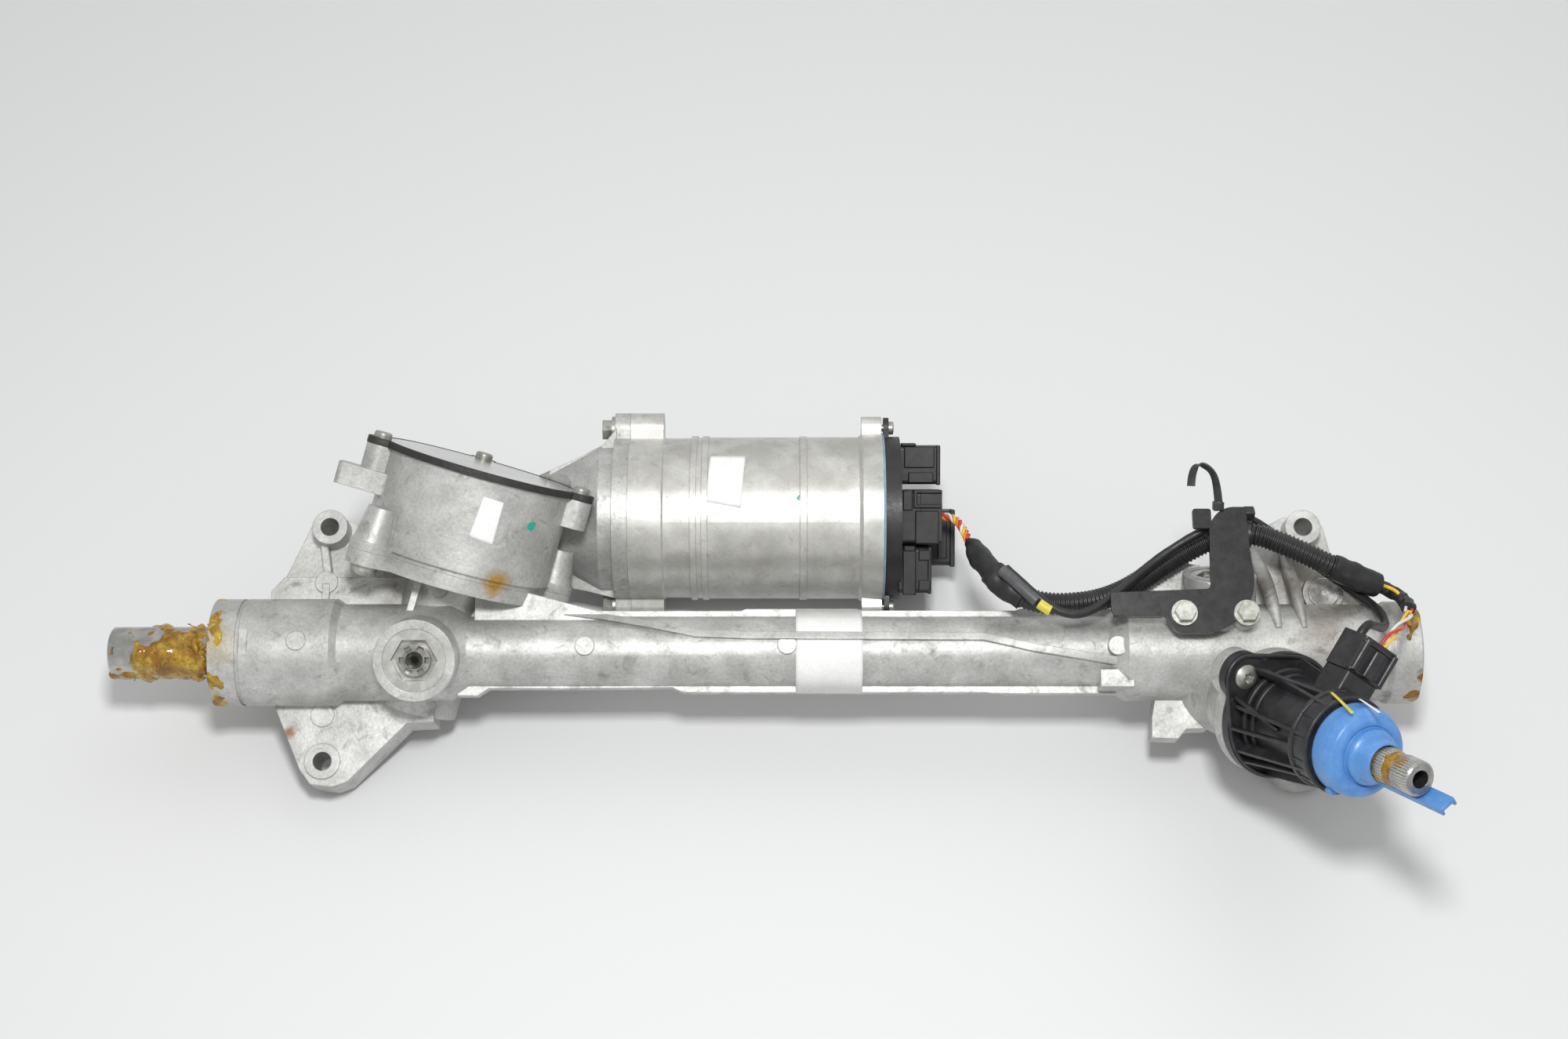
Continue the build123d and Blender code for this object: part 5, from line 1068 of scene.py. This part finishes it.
def sensorTrimPatches(settings):
    patches = [raised(placeAlong("column", settings["flangeTop"]), hullOutline(settings["flangeCircles"]),
                      settings["lip"], True)]
    for low, high, inner, outer in settings["rings"]:
        section = [(low, inner), (low, outer), (high, outer), (high, inner), (low, inner)]
        section = soften(section, settings["ringBend"], 6)
        patches.append(turned(axes["column"], section, settings["around"], True))
    patches += [strut("column", *bar) for bar in settings["struts"]]
    for angle in settings["ribAngles"]:
        ends = [(angle, along, settings["ribRadius"]) for along in settings["ribSpan"]]
        patches.append(strut("column", *ends, settings["ribHalf"], settings["ribHeight"]))
    return patches


makePiece("sensorTrim", sensorTrimPatches(sensorLook), "blackNylon", "housing")

# Pads on a flat face: (along low, along high, across low, across high, height low, height high)
plugPads = [(-9.0, 9.0, -11.6, -8.4, 9.0, 12.0), (-9.0, 9.0, 8.4, 11.6, 9.0, 12.0),
            (-9.0, 6.0, -3.4, 3.4, 9.0, 12.6), (-9.6, -7.6, -12.4, 12.4, 8.0, 11.2),
            (6.4, 8.0, -12.2, 12.2, 8.0, 10.9)]
socketPads = [
    (378.6, 396.0, -41.4, -29.4, 13.0, 15.0), (397.0, 399.4, -42.3, -19.6, 8.0, 14.7),
    (381.0, 395.4, -27.0, -20.8, 13.0, 15.7), (377.0, 385.5, -43.5, -41.8, 6.0, 13.6),
    (384.0, 399.2, -17.6, -15.6, 28.0, 34.8), (384.0, 399.2, -9.6, -7.4, 28.0, 35.0),
    (383.0, 385.2, -17.6, -7.4, 28.0, 34.9), (384.0, 397.4, -5.8, 12.8, 30.0, 34.3),
    (377.0, 382.6, -17.2, -6.0, 28.0, 34.0), (377.0, 384.6, 14.4, 41.8, 30.0, 34.0),
    (377.6, 384.0, 14.0, 17.0, 30.0, 35.0), (386.0, 392.8, 16.4, 22.4, 30.0, 33.2),
    (386.0, 392.8, 33.4, 39.6, 30.0, 33.2), (391.2, 393.4, 14.6, 41.4, 28.0, 32.8),
    (406.2, 409.2, -4.6, 28.6, -8.0, -3.2), (399.0, 404.6, 0.0, 24.0, -6.0, -3.3),
]


def padOn(place, pad, corner=0.7, bevel=0.6, most=0.3):
    # a raised rectangle, its top edge bevelled by no more than the given share of its shorter side
    low, high, left, right, foot, top = pad
    origin, normal, first, second = place
    middle = origin + first * (low + high) / 2 + second * (left + right) / 2
    edge = min(bevel, most * (high - low), most * (right - left))
    return raised((middle, normal, first, second), oblong((high - low) / 2, (right - left) / 2, corner),
                  [(foot, 0), (top - edge, 0), (top, edge)])


plugFace = (onPlug(plugSettings["top"], 0, 0), columnWay, plugOut, plugSide)
makePiece("plugTrim", [padOn(plugFace, pad) for pad in plugPads], "blackNylon", "housing")
motorStart, motorWay, motorFirst, motorSecond = axes["motor"]
socketPlace = (motorStart, motorFirst, motorWay, motorSecond)
makePiece("socketTrim", [padOn(socketPlace, pad) for pad in socketPads], "socketNylon", "housing")
print("connectors dressed")

# Domed screws with a six-lobe recess, which stand for the plain ones of the sensor housing
screwSettings = {"head": 6.6, "rise": 2.6, "rim": 0.9, "lobe": 2.5, "wave": 0.38, "depth": 2.2, "slope": 0.25,
                 "shank": 2.9, "shankEnd": -16.0, "along": 64.0, "reach": 34.0, "angles": (135, 315),
                 "around": 72, "fineTo": 3.6, "fineRings": 34, "coarseFrom": 3.8, "coarseRings": 14}


def domedScrew(place, settings):
    # height = rim + rise * (1 - (radius / head)^2), less the recess inside radius lobe + wave * cos 6 angle;
    # the rings are fine where the recess is and coarse outside it
    turn = np.linspace(0, 2 * np.pi, settings["around"], endpoint=False)[None, :]
    radius = np.concatenate([np.linspace(0, settings["fineTo"], settings["fineRings"]),
                             np.linspace(settings["coarseFrom"], settings["head"], settings["coarseRings"])])
    radius = radius[:, None]
    edge = settings["lobe"] + settings["wave"] * np.cos(6 * turn)
    cut = np.clip((edge - radius) / settings["slope"] + 0.5, 0, 1)
    dome = settings["rim"] + settings["rise"] * (1 - (radius / settings["head"]) ** 2)
    height = dome - settings["depth"] * cut
    radius = np.repeat(radius, turn.size, axis=1)
    foot = np.array([(0.0, settings["head"]), (0.0, settings["shank"]),
                     (settings["shankEnd"], settings["shank"]), (settings["shankEnd"], 0.0)])
    height = np.vstack([height, np.repeat(foot[:, :1], turn.size, axis=1)])
    radius = np.vstack([radius, np.repeat(foot[:, 1:], turn.size, axis=1)])
    start, way, first, second = place
    return (start + way * height[..., None] + first * (radius * np.cos(turn))[..., None]
            + second * (radius * np.sin(turn))[..., None]), False, True


screwPlaces = [placeOn("column", angle, screwSettings["reach"], screwSettings["along"])
               for angle in screwSettings["angles"]]
sensorScrews = makePiece("lobedScrews", [domedScrew(place, screwSettings) for place in screwPlaces],
                         "zincSteel", "housing")
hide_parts("sensor_screws")

# Paper tapes left on the sensor housing's end, given by (angle, along) corners and finish
stripSettings = {
    "yellowStrip": ([(98.5, 110.9), (101.5, 110.4), (118.0, 138.0), (115.0, 138.8)], "yellowTape"),
    "whiteStrip": ([(88.0, 127.3), (90.5, 126.8), (100.6, 149.0), (98.0, 149.8)], "labelPaper"),
}
stripRadius, stripThickness = 26.6, 0.16
for name, (corners, finish) in stripSettings.items():
    makePiece(name, [sheetOn("column", stripRadius, corners, 16)], finish, "housing", stripThickness)

# Floor, light and camera, in metres and watts
stageSettings = {
    "floorColour": "#DCDDDD", "floorSize": 8.0, "floorGap": 0.0002, "floorRoughness": 0.7, "floorSheen": 0.2,
    "skyStrength": 0.55, "aim": (0.31, 0.03, 0.0),
    "lamps": {"key": ((0.33, -0.40, 1.30), 0.18, 12.5), "fill": ((0.9, 1.1, 1.6), 1.4, 5.0)},
    "cameraPlace": (0.310, -0.7060, 1.0582), "cameraPitch": 37.0, "sensorWidth": 36.0,
    "focalPixels": 2950, "framePixels": 2000,
}


def layFloor(settings):
    height = cadBox[0].z - settings["floorGap"]
    half = settings["floorSize"] / 2
    corners = [(-half, -half, height), (half, -half, height), (half, half, height), (-half, half, height)]
    mesh = bpy.data.meshes.new("floor")
    mesh.from_pydata(corners, [], [(0, 1, 2, 3)])
    floor = bpy.data.objects.new("floor", mesh)
    bpy.context.scene.collection.objects.link(floor)
    board = bpy.data.materials.new("matteBoard")  # painted board: diffuse, a little darker than paper
    board.use_nodes = True
    skin = board.node_tree.nodes["Principled BSDF"]
    skin.inputs["Base Color"].default_value = shade(settings["floorColour"])
    skin.inputs["Roughness"].default_value = settings["floorRoughness"]
    skin.inputs["Specular IOR Level"].default_value = settings["floorSheen"]
    mesh.materials.append(board)


def hangSky(settings):
    # white light from all round, and the floor's colour where the camera, a reflection or a clear part looks
    world = bpy.data.worlds.new("studio")
    bpy.context.scene.world = world
    world.use_nodes = True
    tree = world.node_tree
    tree.nodes.clear()
    path = addNode(tree, "ShaderNodeLightPath")
    lit = addNode(tree, "ShaderNodeBackground", {"Color": (1, 1, 1, 1), "Strength": settings["skyStrength"]})
    seen = addNode(tree, "ShaderNodeBackground", {"Color": shade(settings["floorColour"]), "Strength": 1.0})
    straight = addNode(tree, "ShaderNodeMath", {"operation": "ADD"},
                       {0: path.outputs["Is Camera Ray"], 1: path.outputs["Is Glossy Ray"]})
    shown = addNode(tree, "ShaderNodeMath", {"operation": "ADD", "use_clamp": True},
                    {0: straight.outputs[0], 1: path.outputs["Is Transmission Ray"]})
    mixed = addNode(tree, "ShaderNodeMixShader", {},
                    {0: shown.outputs[0], 1: lit.outputs[0], 2: seen.outputs[0]})
    addNode(tree, "ShaderNodeOutputWorld", {}, {"Surface": mixed.outputs[0]})


def hangLamps(settings):
    for name, (place, size, power) in settings["lamps"].items():
        lamp = bpy.data.lights.new(name, "AREA")
        lamp.size, lamp.energy = size, power
        holder = bpy.data.objects.new(name, lamp)
        holder.location = place
        away = unit(np.array(place) - np.array(settings["aim"]))
        holder.rotation_euler = (math.acos(away[2]), 0, math.atan2(away[1], away[0]) + math.pi / 2)
        bpy.context.scene.collection.objects.link(holder)


def placeCamera(settings):
    camera = bpy.data.objects.new("camera", bpy.data.cameras.new("camera"))
    camera.location = settings["cameraPlace"]
    camera.rotation_euler = (math.radians(settings["cameraPitch"]), 0, 0)
    camera.data.sensor_width = settings["sensorWidth"]
    camera.data.lens = settings["sensorWidth"] * settings["focalPixels"] / settings["framePixels"]
    bpy.context.scene.collection.objects.link(camera)
    bpy.context.scene.camera = camera


layFloor(stageSettings)
hangSky(stageSettings)
hangLamps(stageSettings)
placeCamera(stageSettings)
bpy.context.scene.view_settings.view_transform = "Standard"
print("stage laid")
